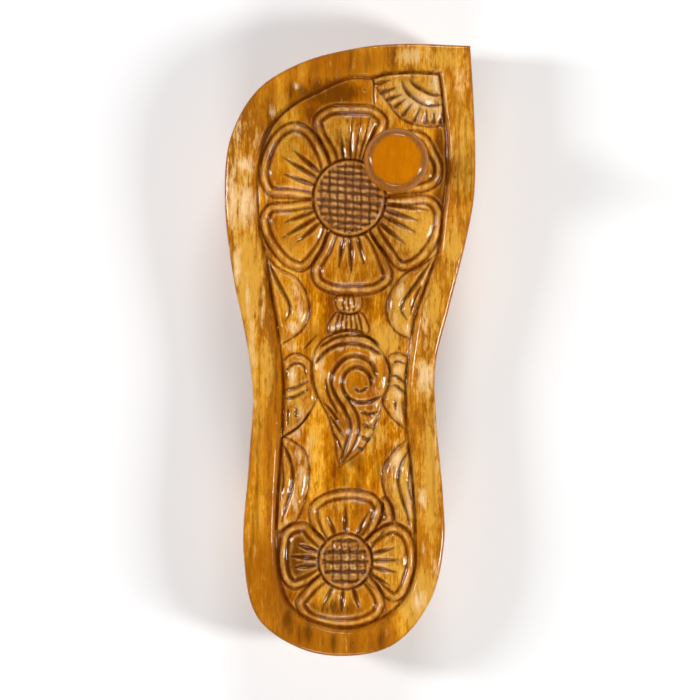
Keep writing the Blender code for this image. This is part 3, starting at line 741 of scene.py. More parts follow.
def finishShell(name, shell):
    bmesh.ops.recalc_face_normals(shell, faces=shell.faces)
    mesh = bpy.data.meshes.new(name)
    shell.to_mesh(mesh)
    shell.free()
    return addObject(name, mesh)


def solidFromRings(name, rings):
    # A closed solid from level rings of points, lowest first.
    shell = bmesh.new()
    levels = [[shell.verts.new((point[0], point[1], height)) for point in path] for path, height in rings]
    for lower, upper in zip(levels, levels[1:]):
        for index in range(len(lower)):
            following = (index + 1) % len(lower)
            shell.faces.new((lower[index], lower[following], upper[following], upper[index]))
    bmesh.ops.triangulate(shell, faces=shell.faces)
    shell.faces.new(list(reversed(levels[0])))
    shell.faces.new(levels[-1])
    return finishShell(name, shell)


def solidFromSide(name, profile, halfWidth):
    # A closed solid with a side-view outline, run straight across the sole.
    shell = bmesh.new()
    near = [shell.verts.new((-halfWidth, along, height)) for along, height in profile]
    far = [shell.verts.new((halfWidth, along, height)) for along, height in profile]
    for index in range(len(profile)):
        following = (index + 1) % len(profile)
        shell.faces.new((near[index], near[following], far[following], far[index]))
    shell.faces.new(list(reversed(near)))
    shell.faces.new(far)
    return finishShell(name, shell)


def undersideProfile():
    # Side view of what is sawn away: raised heel end, arch and toe spring, then down past the floor.
    pastEnd, springSteps, archSteps, belowFloor = 1.2, 24, 72, -6.0
    half = sole["halfLength"]

    def spring(start, rise, end):
        reach = (end - start) * pastEnd
        return [(start + reach * part, rise * (pastEnd * part) ** 2)
                for part in np.linspace(0, 1, springSteps)]

    middle = (sole["archBack"] + sole["archFront"]) / 2
    archHalf = (sole["archFront"] - sole["archBack"]) / 2
    power = 2.0 / sole["archFullness"]
    arch = []
    for turn in np.linspace(0, math.pi, archSteps + 1):
        sweep = -math.cos(turn)
        arch.append((middle + archHalf * math.copysign(abs(sweep) ** power, sweep),
                     sole["archHeight"] * max(math.sin(turn), 0.0) ** power))
    profile = spring(sole["heelSpringStart"], sole["heelSpringRise"], -half)[::-1]
    profile += arch + spring(sole["toeSpringStart"], sole["toeSpringRise"], half)
    return profile + [(profile[-1][0], belowFloor), (profile[0][0], belowFloor)]


def blockBelowRim():
    # The sawn block up to the start of its flat top, with arch, toe spring and raised heel end.
    spare, roundSteps, cutterHalfWidth = 2.0, 6, 80.0
    rings = [(insetPath(soleOutline, sole["sideDraft"] + sole["floorChamfer"] + spare), -spare),
             (insetPath(soleOutline, sole["sideDraft"]), sole["floorChamfer"])]
    for turn in np.linspace(0, math.pi / 2, roundSteps + 1):
        rings.append((insetPath(soleOutline, sole["edgeRound"] * (1 - math.cos(turn))),
                      sole["height"] - sole["edgeRound"] * (1 - math.sin(turn))))
    block = solidFromRings("block", rings)
    cutter = solidFromSide("underside", undersideProfile(), cutterHalfWidth)
    saw = block.modifiers.new("saw", "BOOLEAN")
    saw.operation, saw.solver, saw.object = "DIFFERENCE", "EXACT", cutter
    shape = bmesh.new()
    shape.from_object(block, bpy.context.evaluated_depsgraph_get())
    bpy.data.objects.remove(cutter)
    bpy.data.objects.remove(block)
    return shape


def carvedSole():
    shape = blockBelowRim()
    cap = max(shape.faces, key=lambda face: len(face.verts) if face.normal.z > 0.9 else 0)
    ring = [vert.index for vert in cap.verts]
    shape.faces.remove(cap)
    bmesh.ops.triangulate(shape, faces=shape.faces)
    shape.verts.index_update()
    verts = [tuple(vert.co) for vert in shape.verts]
    faces = [tuple(vert.index for vert in face.verts) for face in shape.faces]
    shape.free()
    innerRing = np.array([verts[index][:2] for index in ring])
    inside = topPoints(innerRing)
    boreSteps = meshing["boreSteps"]
    turns = np.linspace(0, math.tau, boreSteps, endpoint=False)
    bore = np.stack([knob["across"] + (knob["tenonRadius"] + knob["gap"]) * np.cos(turns),
                     knob["along"] + (knob["tenonRadius"] + knob["gap"]) * np.sin(turns)], 1)
    flat = np.concatenate([innerRing, bore, inside])
    around = len(ring)
    boreEdges = [(around + step, around + (step + 1) % boreSteps) for step in range(boreSteps)]
    places, _, triangles, origins, _, _ = delaunay_2d_cdt(
        [tuple(point) for point in flat], boreEdges, [list(range(around))], 1, 1e-7)
    places = np.array([tuple(place) for place in places])
    heights = sole["height"] + readSheet(relief, places)
    boreTop = sole["height"] - knob["seatBelowRim"]
    newIndex = []
    boreIndex = {}
    for number, sources in enumerate(origins):
        source = sources[0] if sources else -1
        if 0 <= source < around:
            newIndex.append(ring[source])
            continue
        if around <= source < around + boreSteps:
            boreIndex[source - around] = len(verts)
            heights[number] = boreTop
        newIndex.append(len(verts))
        verts.append((places[number][0], places[number][1], heights[number]))
    boreCorners = set(boreIndex.values())
    for triangle in triangles:
        corners = [newIndex[corner] for corner in triangle]
        if not boreCorners.issuperset(corners):
            faces.append(tuple(corners))
    boreFloor = boreTop - knob["tenonLength"] - knob["gap"]
    lower = len(verts)
    verts += [(point[0], point[1], boreFloor) for point in bore]
    for step in range(boreSteps):
        following = (step + 1) % boreSteps
        faces.append((boreIndex[step], boreIndex[following], lower + following, lower + step))
    faces.append(tuple(range(lower, lower + boreSteps)))
    mesh = bpy.data.meshes.new("carved_sole")
    mesh.from_pydata(verts, [], faces)
    mesh.validate()
    shape = bmesh.new()
    shape.from_mesh(mesh)
    bmesh.ops.recalc_face_normals(shape, faces=shape.faces)
    shape.to_mesh(mesh)
    shape.free()
    print("sole mesh:", len(mesh.vertices), "points,", len(mesh.polygons), "faces")
    return mesh


# Where the wood and its varnish change tone, with painted light and shade among them: the whitish patches are
# painted glare and highlights on sloping and uneven varnish, partly paler wood, and the brown and amber
# patches along the foot of the field's walls are painted shadow. Middle across and along, half size across
# and along, strength.
tonesAndPaintedLight = {
    # Painted glare and highlights on sloping and uneven varnish, partly paler wood.
    "glareAndPale": (
        (-43.6, 77.0, 4.0, 3.6, 1.0), (-43.2, 60.0, 4.4, 9.6, 1.0), (-48.8, 63.0, 2.4, 16.0, 0.9),
        (-46.7, 34.0, 1.8, 10.0, 0.9), (-42.6, 22.0, 1.2, 9.0, 0.7), (-46.0, 92.0, 2.4, 8.0, 0.55),
        (-32.1, 98.5, 1.6, 2.8, 0.9), (-22.3, 109.3, 0.9, 1.6, 0.9), (-39.0, 88.0, 2.0, 6.0, 0.4),
        (30.9, -11.0, 4.4, 7.0, 0.95), (36.0, -33.0, 1.4, 14.0, 0.7), (30.0, -62.0, 1.5, 6.0, 0.9),
        (30.6, -83.0, 1.2, 4.0, 0.6), (35.2, -90.0, 1.6, 5.0, 0.6), (28.6, -104.0, 3.4, 5.0, 0.9),
        (-40.6, 2.0, 1.8, 16.0, 0.6), (-40.0, -20.0, 1.4, 12.0, 0.5), (-36.4, 20.0, 1.2, 12.0, 0.5),
        (31.0, 10.0, 2.0, 14.0, 0.5), (26.0, 121.8, 8.0, 4.0, 0.5), (46.0, 112.0, 3.0, 9.0, 0.5),
        # carving
        (35.4, 110.4, 2.6, 5.0, 1.0), (36.6, 98.8, 3.0, 3.0, 0.9), (29.0, 103.0, 9.0, 4.0, 0.95),
        (20.0, 106.0, 5.0, 5.0, 0.6), (-22.6, 25.0, 1.8, 5.0, 0.8), (-20.6, 16.5, 1.8, 5.5, 0.9),
        (-23.6, 9.2, 2.8, 3.0, 0.85), (21.0, 24.0, 2.0, 4.0, 0.8), (18.6, 14.5, 1.6, 6.0, 0.6),
        (24.0, 8.5, 3.0, 2.4, 0.6), (-21.6, -43.0, 2.4, 5.0, 0.55), (-19.8, -53.0, 1.8, 6.5, 0.75),
        (-22.8, -64.0, 1.6, 6.5, 0.65), (-26.4, -71.6, 1.4, 3.0, 0.8), (19.0, -46.0, 2.8, 7.0, 1.0),
        (24.6, -60.0, 1.9, 12.0, 1.0), (18.4, -56.5, 1.6, 3.0, 0.5), (19.8, -8.6, 2.8, 2.8, 0.9),
        (19.6, -18.6, 2.0, 3.0, 0.95), (20.0, -26.0, 2.0, 5.0, 0.9), (-24.0, -10.6, 1.8, 4.0, 0.85),
        (-20.6, -28.0, 1.8, 5.0, 0.75), (-24.6, 1.0, 2.6, 2.0, 0.7), (-22.4, -34.6, 2.6, 2.4, 0.8),
        (-17.2, -44.0, 1.8, 9.0, 0.6), (-12.0, -6.0, 1.5, 6.4, 0.9), (-4.6, 0.4, 3.4, 1.2, 0.6),
        (9.6, -2.8, 2.0, 3.6, 0.7), (11.2, -17.0, 1.6, 3.0, 0.5), (-0.6, -30.0, 0.9, 7.0, 0.6),
        (-14.0, 84.0, 2.0, 3.0, 0.3), (-34.6, 66.4, 0.9, 7.0, 0.8), (24.0, 61.4, 8.0, 0.9, 0.8),
        (7.6, 89.0, 1.2, 8.0, 0.4),
    ),
    "straw": (
        (47.0, 84.0, 7.0, 34.0, 0.62), (40.0, 121.0, 12.0, 7.0, 0.8), (26.0, 121.5, 9.0, 5.0, 0.8),
        (43.0, 42.0, 5.5, 16.0, 0.8), (34.0, 18.0, 6.0, 18.0, 0.75), (31.0, -12.0, 5.0, 14.0, 0.8),
        (33.6, -50.0, 4.4, 34.0, 0.95), (30.0, -104.0, 8.0, 12.0, 1.5), (-46.0, 62.0, 7.0, 34.0, 0.7),
        (-43.0, 30.0, 8.0, 26.0, 1.0), (-34.6, -7.0, 3.4, 12.0, 0.9), (-41.0, -6.0, 3.2, 28.0, 1.1),
        (-42.0, -70.0, 2.4, 16.0, 0.35),
        # carving
        (27.0, 50.0, 11.0, 12.0, 1.0), (27.0, 105.0, 16.0, 12.0, 1.0), (21.0, 16.0, 6.0, 14.0, 1.0),
        (20.0, -14.0, 5.0, 16.0, 1.0), (22.0, -55.0, 7.0, 18.0, 1.0), (15.0, 4.0, 9.0, 8.0, 1.0),
        (17.0, -88.0, 8.0, 12.0, 0.7), (0.0, 30.0, 11.0, 7.0, 0.5), (10.0, -34.0, 6.0, 12.0, 0.7),
        (-23.0, 14.0, 6.0, 14.0, 0.5), (-22.0, -55.0, 5.0, 16.0, 0.35), (-22.0, -20.0, 6.0, 14.0, 0.7),
        (-2.0, 91.0, 9.0, 8.0, 0.6), (-4.0, -65.0, 9.0, 5.0, 0.45), (-16.0, -40.0, 4.0, 12.0, 0.4),
        (10.0, 98.0, 5.0, 4.0, 0.5), (16.0, 90.0, 6.0, 4.0, 0.4),
    ),
    "amber": (
        (-4.0, 119.5, 19.0, 8.0, 0.95), (-27.0, -16.0, 3.0, 20.0, 0.5), (-12.0, 105.0, 18.0, 6.0, 0.6),
        (-24.0, 111.0, 10.0, 8.0, 0.4), (-10.0, 106.5, 18.0, 7.0, 1.3), (0.0, 64.0, 17.0, 17.0, 1.0),
        (-36.6, -36.0, 6.0, 24.0, 0.6), (-38.0, -94.0, 10.0, 20.0, 1.1), (-8.0, -120.0, 26.0, 9.0, 1.0),
        # the long patch at -30.5 across on the next line is painted shadow along the left wall of the waist
        (8.0, -122.0, 10.0, 5.0, 0.7), (-2.0, -88.0, 13.0, 13.0, 1.0), (-30.5, -14.0, 2.0, 48.0, 0.65),
        (-23.0, -85.0, 7.0, 12.0, 0.9), (-5.0, -108.0, 16.0, 6.0, 0.7), (-38.0, 12.0, 2.0, 10.0, 0.3),
        (0.0, -30.0, 8.0, 16.0, 0.6), (-1.6, 34.0, 14.0, 10.0, 0.25), (-1.0, -16.0, 13.0, 22.0, 0.4),
        (33.4, 12.8, 4.0, 2.4, 0.7), (47.4, 53.0, 2.4, 6.0, 0.8), (-44.6, 61.0, 1.0, 2.4, 1.0),
        (-44.0, 72.0, 5.0, 1.6, 0.9), (34.5, -50.0, 3.0, 20.0, 0.35), (31.0, -88.0, 4.0, 14.0, 0.4),
        (46.0, 101.0, 5.0, 9.0, 0.7), (18.7, 26.0, 1.5, 3.5, 0.7), (15.4, -58.0, 1.4, 4.0, 0.8),
        (0.0, 8.0, 20.0, 5.0, 0.3), (-28.0, 80.0, 8.0, 8.0, 0.3), (-24.0, 47.0, 11.0, 11.0, 0.6),
        (-15.0, 6.0, 5.0, 6.0, 0.8), (12.0, -40.0, 4.0, 14.0, 0.3),
    ),
    "brown": (
        (-25.5, -112.0, 3.0, 7.0, 0.8), (-30.0, -107.0, 4.0, 5.0, 0.4), (12.8, -121.0, 1.6, 4.5, 0.7),
        # the first two patches on the next line, by the right wall of the forefoot, are painted shadow
        (37.0, 78.0, 2.7, 17.0, 1.1), (36.6, 62.0, 2.8, 6.0, 1.0), (-10.0, 106.5, 15.0, 4.5, 0.9),
        (-5.0, 99.0, 19.0, 3.2, 0.65), (1.2, -121.4, 0.5, 0.5, 1.0), (-34.5, 84.0, 3.4, 6.0, 0.7),
        (-29.0, 93.0, 3.0, 4.0, 0.5), (0.0, 64.0, 13.5, 13.5, 0.95), (-2.0, -88.0, 11.5, 11.5, 0.85),
        (-22.0, -86.0, 9.0, 13.0, 1.0), (-7.0, 106.5, 14.0, 6.0, 1.0), (-8.0, -107.0, 14.0, 5.0, 0.7),
        (-7.0, -121.0, 3.0, 6.0, 0.6), (-18.0, -118.0, 4.0, 6.0, 0.55), (2.0, -46.0, 5.0, 4.0, 0.5),
        # the long patch at -30.6 across on the next line is painted shadow along the left wall of the waist
        (-22.0, 102.0, 4.0, 2.0, 0.45), (-15.0, -100.0, 3.0, 3.0, 0.6), (-30.6, -10.0, 1.2, 44.0, 0.5),
        (-2.4, -53.0, 1.2, 7.0, 0.5), (11.8, -52.0, 0.8, 12.0, 0.5), (38.0, 88.0, 1.6, 2.6, 0.8),
        (-38.0, -30.0, 4.0, 2.6, 0.5), (7.6, 119.0, 2.6, 6.0, 0.35), (-14.0, 31.0, 2.6, 4.0, 0.5),
        (14.0, 33.0, 2.0, 3.0, 0.6), (-6.0, 8.0, 3.0, 5.0, 0.45), (9.0, 14.0, 2.0, 5.0, 0.3),
    ),
}
# dark grain lines: across at each end, lowest and highest along, half width, strength
grainLines = (
    (-25.0, -24.3, 101.0, 113.0, 1.2, 0.9), (-16.6, -16.4, 108.0, 119.0, 0.6, 0.8),
    (17.4, 18.0, 114.5, 127.0, 0.9, 1.0), (0.0, 0.4, 114.0, 127.0, 0.8, 0.8),
    (7.4, 7.0, 114.0, 127.0, 0.6, 0.7), (-34.0, -34.4, 92.0, 107.0, 0.7, 0.6),
    (-6.9, -6.7, -128.0, -116.0, 1.1, 1.0), (0.8, 0.8, -127.0, -118.0, 0.7, 0.9),
    (-21.0, -20.4, -124.0, -111.0, 1.0, 0.9), (-17.6, -17.0, -124.0, -112.0, 0.8, 0.9),
    (-11.6, -11.2, -125.0, -116.0, 0.6, 0.6), (12.4, 13.4, -124.0, -115.0, 1.1, 0.9),
    (-38.8, -36.8, -76.0, 30.0, 0.5, 0.75), (-34.6, -34.0, 20.0, 60.0, 0.4, 0.3),
    (-42.0, -39.4, -100.0, -60.0, 0.5, 0.6), (-1.4, -1.0, -62.0, -48.0, 0.8, 0.5),
    (3.6, 3.8, -70.0, -44.0, 1.0, 0.5), (34.6, 34.0, -70.0, -14.0, 0.4, 0.6),
    (30.4, 31.4, -50.0, -8.0, 0.4, 0.5), (44.6, 45.4, 52.0, 104.0, 0.45, 0.7),
    (47.8, 48.2, 58.0, 100.0, 0.35, 0.6), (50.0, 50.4, 60.0, 90.0, 0.35, 0.5),
    (42.6, 43.6, 60.0, 92.0, 0.3, 0.4), (36.0, 37.0, -84.0, -60.0, 0.4, 0.4),
    (29.4, 28.0, -108.0, -96.0, 0.4, 0.5), (26.6, 25.0, -113.0, -104.0, 0.35, 0.5),
    (-1.0, 0.0, -62.0, -40.0, 0.3, 0.3),
)


toning = {"deepest": 5.5, "wallFade": 2.5, "motifBlur": 0.6, "rimBlur": 0.3, "wallAmber": 0.8,
          "lineSway": 0.25, "lineSwayPace": 0.31, "lineFade": 4.0}


def toneAt(points, rows):
    across, along = points.T
    total = np.zeros(len(points))
    for middleAcross, middleAlong, halfAcross, halfAlong, strength in rows:
        reach = ((across - middleAcross) / halfAcross) ** 2 + ((along - middleAlong) / halfAlong) ** 2
        total = np.maximum(total, strength * np.exp(-reach))
    return total


def grainLineAt(points):
    across, along = points.T
    fade = toning["lineFade"]
    total = np.zeros(len(points))
    for lowAcross, highAcross, low, high, halfWidth, strength in grainLines:
        share = (along - low) / (high - low)
        sway = toning["lineSway"] * np.sin(along * toning["lineSwayPace"] + low)
        middle = lowAcross + (highAcross - lowAcross) * share + sway
        ends = np.clip((along - low) / fade, 0, 1) * np.clip((high - along) / fade, 0, 1)
        total = np.maximum(total, strength * ends * np.exp(-(((across - middle) / halfWidth) ** 2)))
    return total


def paintPoints(mesh, layers):
    for name, values in layers.items():
        mesh.attributes.new(name, "FLOAT", "POINT").data.foreach_set("value", values.astype(np.float32))


def pointsOf(mesh):
    points = np.empty(len(mesh.vertices) * 3)
    mesh.vertices.foreach_get("co", points)
    return points.reshape(-1, 3)


def paintSole(mesh):
    points = pointsOf(mesh)
    plan = points[:, :2]
    below = sole["height"] - points[:, 2]
    onWall = readSheet(outerEdge, plan)
    # The tones of the top fade down the sides.
    onTop = (below < toning["deepest"]) * (1.0 - onWall * np.clip(below / toning["wallFade"], 0.0, 1.0))
    layers = {name: toneAt(plan, rows) * onTop for name, rows in tonesAndPaintedLight.items()}
    for name, values in (("stainAndShadow", stainAndShadow), ("shade", shade), ("rubAndHighlight", rubAndHighlight),
                         ("motif", soften(motifShare, toning["motifBlur"])),
                         ("rim", soften(1.0 - inField, toning["rimBlur"]))):
        layers[name] = readSheet(values, plan) * onTop
    layers["amber"] = np.maximum(layers["amber"], toning["wallAmber"] * onWall)
    layers["grain_line"] = grainLineAt(plan)
    paintPoints(mesh, layers)


soleMesh = carvedSole()
paintSole(soleMesh)
soleMesh.transform(Matrix.Scale(mm, 4))
soleMesh.shade_smooth()
carvedSolePiece = addObject("carved_sole", soleMesh)


def knobProfile():
    # Radius and height pairs from the foot of the tenon to the crown of the head.
    base = sole["height"] - knob["seatBelowRim"] + knob["gap"]
    crown = sole["height"] + knob["rise"]
    headBase = crown - knob["headThickness"]
    tenonFoot = base - knob["gap"] - knob["tenonLength"]
    coveRise, easing, bevel = knob["coveRise"], knob["headEase"], knob["tenonBevel"]
    roundSteps = 14
    footTop = base + knob["footThickness"]
    footRadius, neck, head = knob["footRadius"], knob["neckRadius"], knob["headRadius"]
    profile = [(knob["tenonRadius"] - bevel, tenonFoot), (knob["tenonRadius"], tenonFoot + bevel),
               (knob["tenonRadius"], base), (footRadius - 0.5, base), (footRadius, base + 0.5)]
    profile += [(footRadius, base + 0.9), (footRadius, footTop - 0.6), (footRadius - 0.2, footTop - 0.2),
                (footRadius - 0.6, footTop)]
    for turn in np.linspace(0, math.pi / 2, roundSteps)[1:]:
        profile.append((neck + (footRadius - 0.6 - neck) * (1 - math.sin(turn)),
                        footTop + coveRise * (1 - math.cos(turn))))
    for height in np.linspace(footTop + coveRise, headBase - coveRise, 10)[1:-1]:
        profile.append((neck, height))
    for turn in np.linspace(0, math.pi / 2, roundSteps):
        profile.append((neck + (head - easing - neck) * (1 - math.cos(turn)),
                        headBase - coveRise * (1 - math.sin(turn))))
    for turn in np.linspace(0, math.pi / 2, 6)[1:]:
        profile.append((head - easing * (1 - math.sin(turn)), headBase + easing * (1 - math.cos(turn))))
    shoulderLow, shoulder = headBase + knob["shoulderRise"], head - knob["topRadius"]
    crownEdge = crown - knob["crownRise"]
    for turn in np.linspace(0, math.pi / 2, 20):
        profile.append((knob["topRadius"] + shoulder * math.cos(turn),
                        shoulderLow + (crownEdge - shoulderLow) * math.sin(turn)))
    for share in (0.9, 0.75, 0.6, 0.45, 0.3, 0.15):
        profile.append((knob["topRadius"] * share, crown - knob["crownRise"] * share**2))
    return profile


def turnedKnob():
    turns = np.linspace(0, math.tau, knob["turns"], endpoint=False)
    rings = []
    for radius, height in knobProfile():
        mark = 1.0 + knob["latheMark"] / max(radius, 1.0) * math.sin(height * knob["markPace"])
        path = np.stack([knob["across"] + radius * mark * np.cos(turns),
                         knob["along"] + radius * mark * np.sin(turns)], 1)
        rings.append((path, height))
    piece = solidFromRings("turned_knob", rings)
    points = pointsOf(piece.data)
    # A darker mottled band on the rolled shoulder of the head: painted shade.
    radii = np.hypot(points[:, 0] - knob["across"], points[:, 1] - knob["along"])
    fromBand = (radii - knob["shoulderShadeRadius"]) / knob["shoulderShadeWidth"]
    paintPoints(piece.data, {"shoulderShade": np.exp(-(fromBand**2))})
    piece.data.transform(Matrix.Scale(mm, 4))
    piece.data.shade_smooth()
    piece.data.set_sharp_from_angle(angle=math.radians(knob["sharpAngle"]))
    return piece


turnedKnobPiece = turnedKnob()
print("knob turned")


def nodeMaker(material):
    # make(kind, {socket: value or other socket}, setting=value) adds a node and returns it.
    tree = material.node_tree

    def make(kind, inputs=None, **settings):
        node = tree.nodes.new("ShaderNode" + kind)
        for name, value in settings.items():
            setattr(node, name, value)
        for socket, value in (inputs or {}).items():
            if isinstance(value, bpy.types.NodeSocket):
                tree.links.new(value, node.inputs[socket])
            else:
                node.inputs[socket].default_value = value
        return node

    return make


def colourRamp(node, stops):
    ramp = node.color_ramp
    while len(ramp.elements) < len(stops):
        ramp.elements.new(0.5)
    for element, (position, colour) in zip(ramp.elements, stops):
        element.position = position
        element.color = (*colour, 1.0)
    return node


carvedWood = {
    "grain": ((0.0, (0.23, 0.055, 0.000)), (0.33, (0.44, 0.138, 0.000)), (0.62, (0.58, 0.210, 0.001)),
              (1.0, (0.88, 0.440, 0.040))),
    "motif": (0.47, 0.152, 0.006), "rim": (0.60, 0.250, 0.022),
    # The whitish colour is for painted glare; on the next lines the shade colour is painted shade, the
    # darkest colour old varnish and painted shadow, and the crest colour partly a painted highlight.
    "glareAndPale": (0.92, 0.65, 0.34), "straw": (0.75, 0.405, 0.054), "amber": (0.33, 0.090, 0.000),
    "brown": (0.115, 0.030, 0.000), "line": (0.12, 0.031, 0.001), "shade": (0.150, 0.031, 0.000),
    "stainAndShadow": (0.030, 0.0055, 0.000), "rubAndHighlight": (0.92, 0.49, 0.11),
    # share of each tone, and how far its edge is broken up
    "shares": {"amber": (0.62, 0.8), "straw": (0.72, 0.9), "brown": (0.82, 0.8), "rim": 0.25, "motif": 0.25},
    "pores": 0.25, "specular": 0.0, "roughness": 0.45, "coat": 0.75, "coatRoughness": 0.08,
    "bump": 0.5, "tooling": 0.35,
}


def varnishedWood(name, look, carved=True):
    material = bpy.data.materials.new(name)
    material.use_nodes = True
    make = nodeMaker(material)
    shader = material.node_tree.nodes["Principled BSDF"]
    place = make("TexCoord").outputs["Object"]

    def noise(stretch, scale, detail, rough, twist=0.0):
        # The noise is drawn out along the grain.
        vector = make("Mapping", {"Vector": place, "Scale": (1.0, stretch, 1.0)}).outputs["Vector"]
        return make("TexNoise", {"Vector": vector, "Scale": scale, "Detail": detail, "Roughness": rough,
                                 "Distortion": twist}).outputs["Fac"]

    def mix(share, one, other):
        return make("Mix", {0: share, 6: one, 7: other}, data_type="RGBA").outputs[2]

    def remap(value, low, high, outLow=0.0, outHigh=1.0):
        return make("MapRange", {"Value": value, "From Min": low, "From Max": high, "To Min": outLow,
                                 "To Max": outHigh}).outputs["Result"]

    def combine(operation, one, other):
        return make("Math", {0: one, 1: other}, operation=operation).outputs[0]

    def layer(attribute):
        return make("Attribute", attribute_name=attribute).outputs["Fac"]

    def broken(share, pattern, spread, low=0.28, high=0.72):
        # Gives a painted area an irregular edge.
        shifted = combine("ADD", share, combine("MULTIPLY", combine("SUBTRACT", pattern, 0.5), spread))
        return remap(shifted, low, high)

    bands = remap(noise(0.05, 110.0, 4.0, 0.6, 0.6), 0.36, 0.64)
    fibres = remap(noise(0.07, 1300.0, 4.0, 0.65), 0.38, 0.62)
    flecks = remap(noise(0.22, 1700.0, 2.0, 0.6), 0.38, 0.62)
    fineFibres = noise(0.05, 4200.0, 2.0, 0.6)
    mottle = remap(noise(0.36, 420.0, 3.0, 0.6), 0.34, 0.66)
    clouds = remap(noise(0.22, 110.0, 3.0, 0.6), 0.34, 0.66)
    speckle = noise(0.4, 1500.0, 3.0, 0.65)
    pores = remap(noise(0.07, 2600.0, 1.0, 0.5), 0.62, 0.70)

    grain = combine("MULTIPLY", bands, 0.32)
    for pattern, weight in ((fibres, 0.10), (flecks, 0.14), (mottle, 0.19), (clouds, 0.25)):
        grain = combine("ADD", grain, combine("MULTIPLY", pattern, weight))
    grain = remap(grain, 0.26, 0.74)
    colour = colourRamp(make("ValToRGB", {"Fac": grain}), look["grain"]).outputs["Color"]
    if carved:
        patches = combine("ADD", combine("MULTIPLY", mottle, 0.5), combine("MULTIPLY", flecks, 0.2))
        patches = combine("ADD", patches, combine("MULTIPLY", fibres, 0.3))
        for tone in ("rim", "motif"):
            colour = mix(combine("MULTIPLY", layer(tone), look["shares"][tone]), colour, (*look[tone], 1.0))
        for tone in ("amber", "straw", "brown"):
            most, spread = look["shares"][tone]
            share = combine("MULTIPLY", broken(layer(tone), patches, spread), most)
            colour = mix(share, colour, (*look[tone], 1.0))
        # Painted glare and highlights, where sloping or uneven varnish would catch the lamps; partly paler
        # wood.
        colour = mix(combine("MULTIPLY", broken(layer("glareAndPale"), patches, 0.9, 0.25, 1.05), 0.85), colour,
                     (*look["glareAndPale"], 1.0))
        colour = mix(combine("MULTIPLY", layer("grain_line"), remap(fibres, 0.0, 1.0, 0.55, 0.95)), colour,
                     (*look["line"], 1.0))
        # Painted highlight on the crests, partly varnish rubbed thin.
        colour = mix(combine("MULTIPLY", layer("rubAndHighlight"), remap(mottle, 0.2, 1.0, 0.2, 0.8)), colour,
                     (*look["rubAndHighlight"], 1.0))
        grime = combine("MULTIPLY", remap(speckle, 0.54, 0.66, 0.0, 0.30), layer("motif"))
        colour = mix(grime, colour, (*look["shade"], 1.0))
        # Painted shade in hollows and beside cuts.
        colour = mix(combine("MULTIPLY", layer("shade"), remap(patches, 0.2, 0.8, 1.0, 0.65)), colour,
                     (*look["shade"], 1.0))
        # The darkest colour in the cuts: old varnish and painted shadow.
        colour = mix(combine("MULTIPLY", layer("stainAndShadow"), remap(speckle, 0.35, 0.65, 1.0, 0.75)), colour,
                     (*look["stainAndShadow"], 1.0))
    else:
        # Painted shade on the rolled shoulder of the head, broken up in mottled patches.
        shoulderShadeShare = combine("MULTIPLY", broken(layer("shoulderShade"), mottle, 0.45), remap(flecks, 0.1, 0.9, 0.35, 1.0))
        colour = mix(shoulderShadeShare, colour, (*look["shoulderShade"], 1.0))
    colour = mix(combine("MULTIPLY", pores, look["pores"]), colour, (*look["brown"], 1.0))
    material.node_tree.links.new(colour, shader.inputs["Base Color"])

    roughness = remap(speckle, 0.3, 0.7, look["roughness"] - 0.07, look["roughness"] + 0.09)
    material.node_tree.links.new(roughness, shader.inputs["Roughness"])
    shader.inputs["Specular IOR Level"].default_value = look["specular"]
    shader.inputs["Coat Weight"].default_value = look["coat"]
    shader.inputs["Coat Roughness"].default_value = look["coatRoughness"]
    shader.inputs["Coat IOR"].default_value = 1.5

    tooling = combine("MULTIPLY", mottle, look["tooling"])
    height = combine("ADD", combine("MULTIPLY", fibres, 0.4), combine("MULTIPLY", fineFibres, 0.25))
    height = combine("SUBTRACT", combine("ADD", height, tooling), combine("MULTIPLY", pores, 0.3))
    bump = make("Bump", {"Height": height, "Strength": look["bump"], "Distance": 0.0002})
    material.node_tree.links.new(bump.outputs["Normal"], shader.inputs["Normal"])
    gloss = make("Bump", {"Height": combine("ADD", tooling, combine("MULTIPLY", fibres, 0.07)),
                          "Strength": look["bump"], "Distance": 0.0002})
    material.node_tree.links.new(gloss.outputs["Normal"], shader.inputs["Coat Normal"])
    return material


turnedWood = {
    "grain": ((0.0, (0.43, 0.124, 0.000)), (0.4, (0.49, 0.143, 0.000)), (0.7, (0.52, 0.156, 0.000)),
              (1.0, (0.57, 0.180, 0.000))),
    "brown": (0.20, 0.055, 0.000), "pores": 0.0, "specular": 0.0, "roughness": 0.35,
    "coat": 0.6, "coatRoughness": 0.10,
    # The band colour below is painted shade on the rolled shoulder of the head.
    "shoulderShade": (0.24, 0.095, 0.022), "bump": 0.5, "tooling": 0.5,
}

soleWood = varnishedWood("carved_wood_varnished", carvedWood)
knobWood = varnishedWood("turned_wood_varnished", turnedWood, carved=False)
carvedSolePiece.data.materials.append(soleWood)
turnedKnobPiece.data.materials.append(knobWood)
for piece, node, slot in ((carvedSolePiece, "sole", "carved_wood"),
                          (turnedKnobPiece, "toe_knob", "turned_wood")):
    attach(piece, "root")
    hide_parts(node)
print("wood finished")

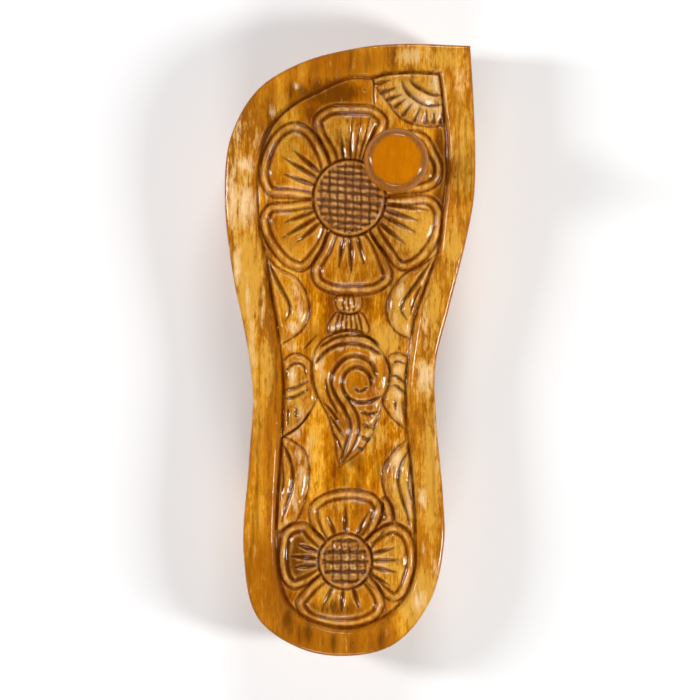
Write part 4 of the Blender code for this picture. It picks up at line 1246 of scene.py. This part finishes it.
studio = {
    "cameraHeight": 1.2, "frameHeight": 0.290, "floorSize": 4.0, "floorColour": (0.92, 0.94, 0.96),
    # name, place in metres, size across and along, power in watts, colour
    "lights": (
        ("right", (0.95, -0.25, 0.78), (0.18, 0.46), 9.6, (1.0, 0.98, 0.95)),
        ("left", (-0.95, 0.15, 0.78), (0.18, 0.46), 8.6, (1.0, 0.97, 0.96)),
        ("toe", (0.15, 1.0, 0.80), (0.42, 0.17), 5.6, (1.0, 0.98, 0.97)),
        ("heel", (-0.1, -1.0, 0.85), (0.42, 0.17), 4.6, (1.0, 0.98, 0.96)),
    ),
    "worldStrength": 0.06,
}


def setStudio():
    floorMesh = bpy.data.meshes.new("floor")
    half = studio["floorSize"] / 2
    corners = [(-half, -half, 0), (half, -half, 0), (half, half, 0), (-half, half, 0)]
    floorMesh.from_pydata(corners, [], [(0, 1, 2, 3)])
    floor = addObject("floor", floorMesh)
    paper = bpy.data.materials.new("pale_paper")
    paper.use_nodes = True
    shader = paper.node_tree.nodes["Principled BSDF"]
    shader.inputs["Base Color"].default_value = (*studio["floorColour"], 1.0)
    shader.inputs["Roughness"].default_value = 0.8
    floorMesh.materials.append(paper)
    middle = Vector((0.0, 0.0, sole["height"] * mm))
    for name, place, size, power, colour in studio["lights"]:
        light = bpy.data.lights.new(name, "AREA")
        light.shape, light.size, light.size_y = "RECTANGLE", size[0], size[1]
        light.energy, light.color = power, colour
        lamp = addObject(name, light)
        lamp.location = place
        lamp.rotation_euler = (middle - Vector(place)).to_track_quat("-Z", "Y").to_euler()
    world = bpy.data.worlds.new("studio")
    world.use_nodes = True
    world.node_tree.nodes["Background"].inputs["Color"].default_value = (1.0, 0.99, 0.98, 1.0)
    world.node_tree.nodes["Background"].inputs["Strength"].default_value = studio["worldStrength"]
    bpy.context.scene.world = world
    camera = bpy.data.cameras.new("camera")
    view = addObject("camera", camera)
    view.location = (0.0, 0.0, sole["height"] * mm + studio["cameraHeight"])
    camera.sensor_width = 36.0
    camera.lens = camera.sensor_width * studio["cameraHeight"] / studio["frameHeight"]
    bpy.context.scene.camera = view
    bpy.context.scene.view_settings.view_transform = "Standard"


setStudio()
print("studio set")
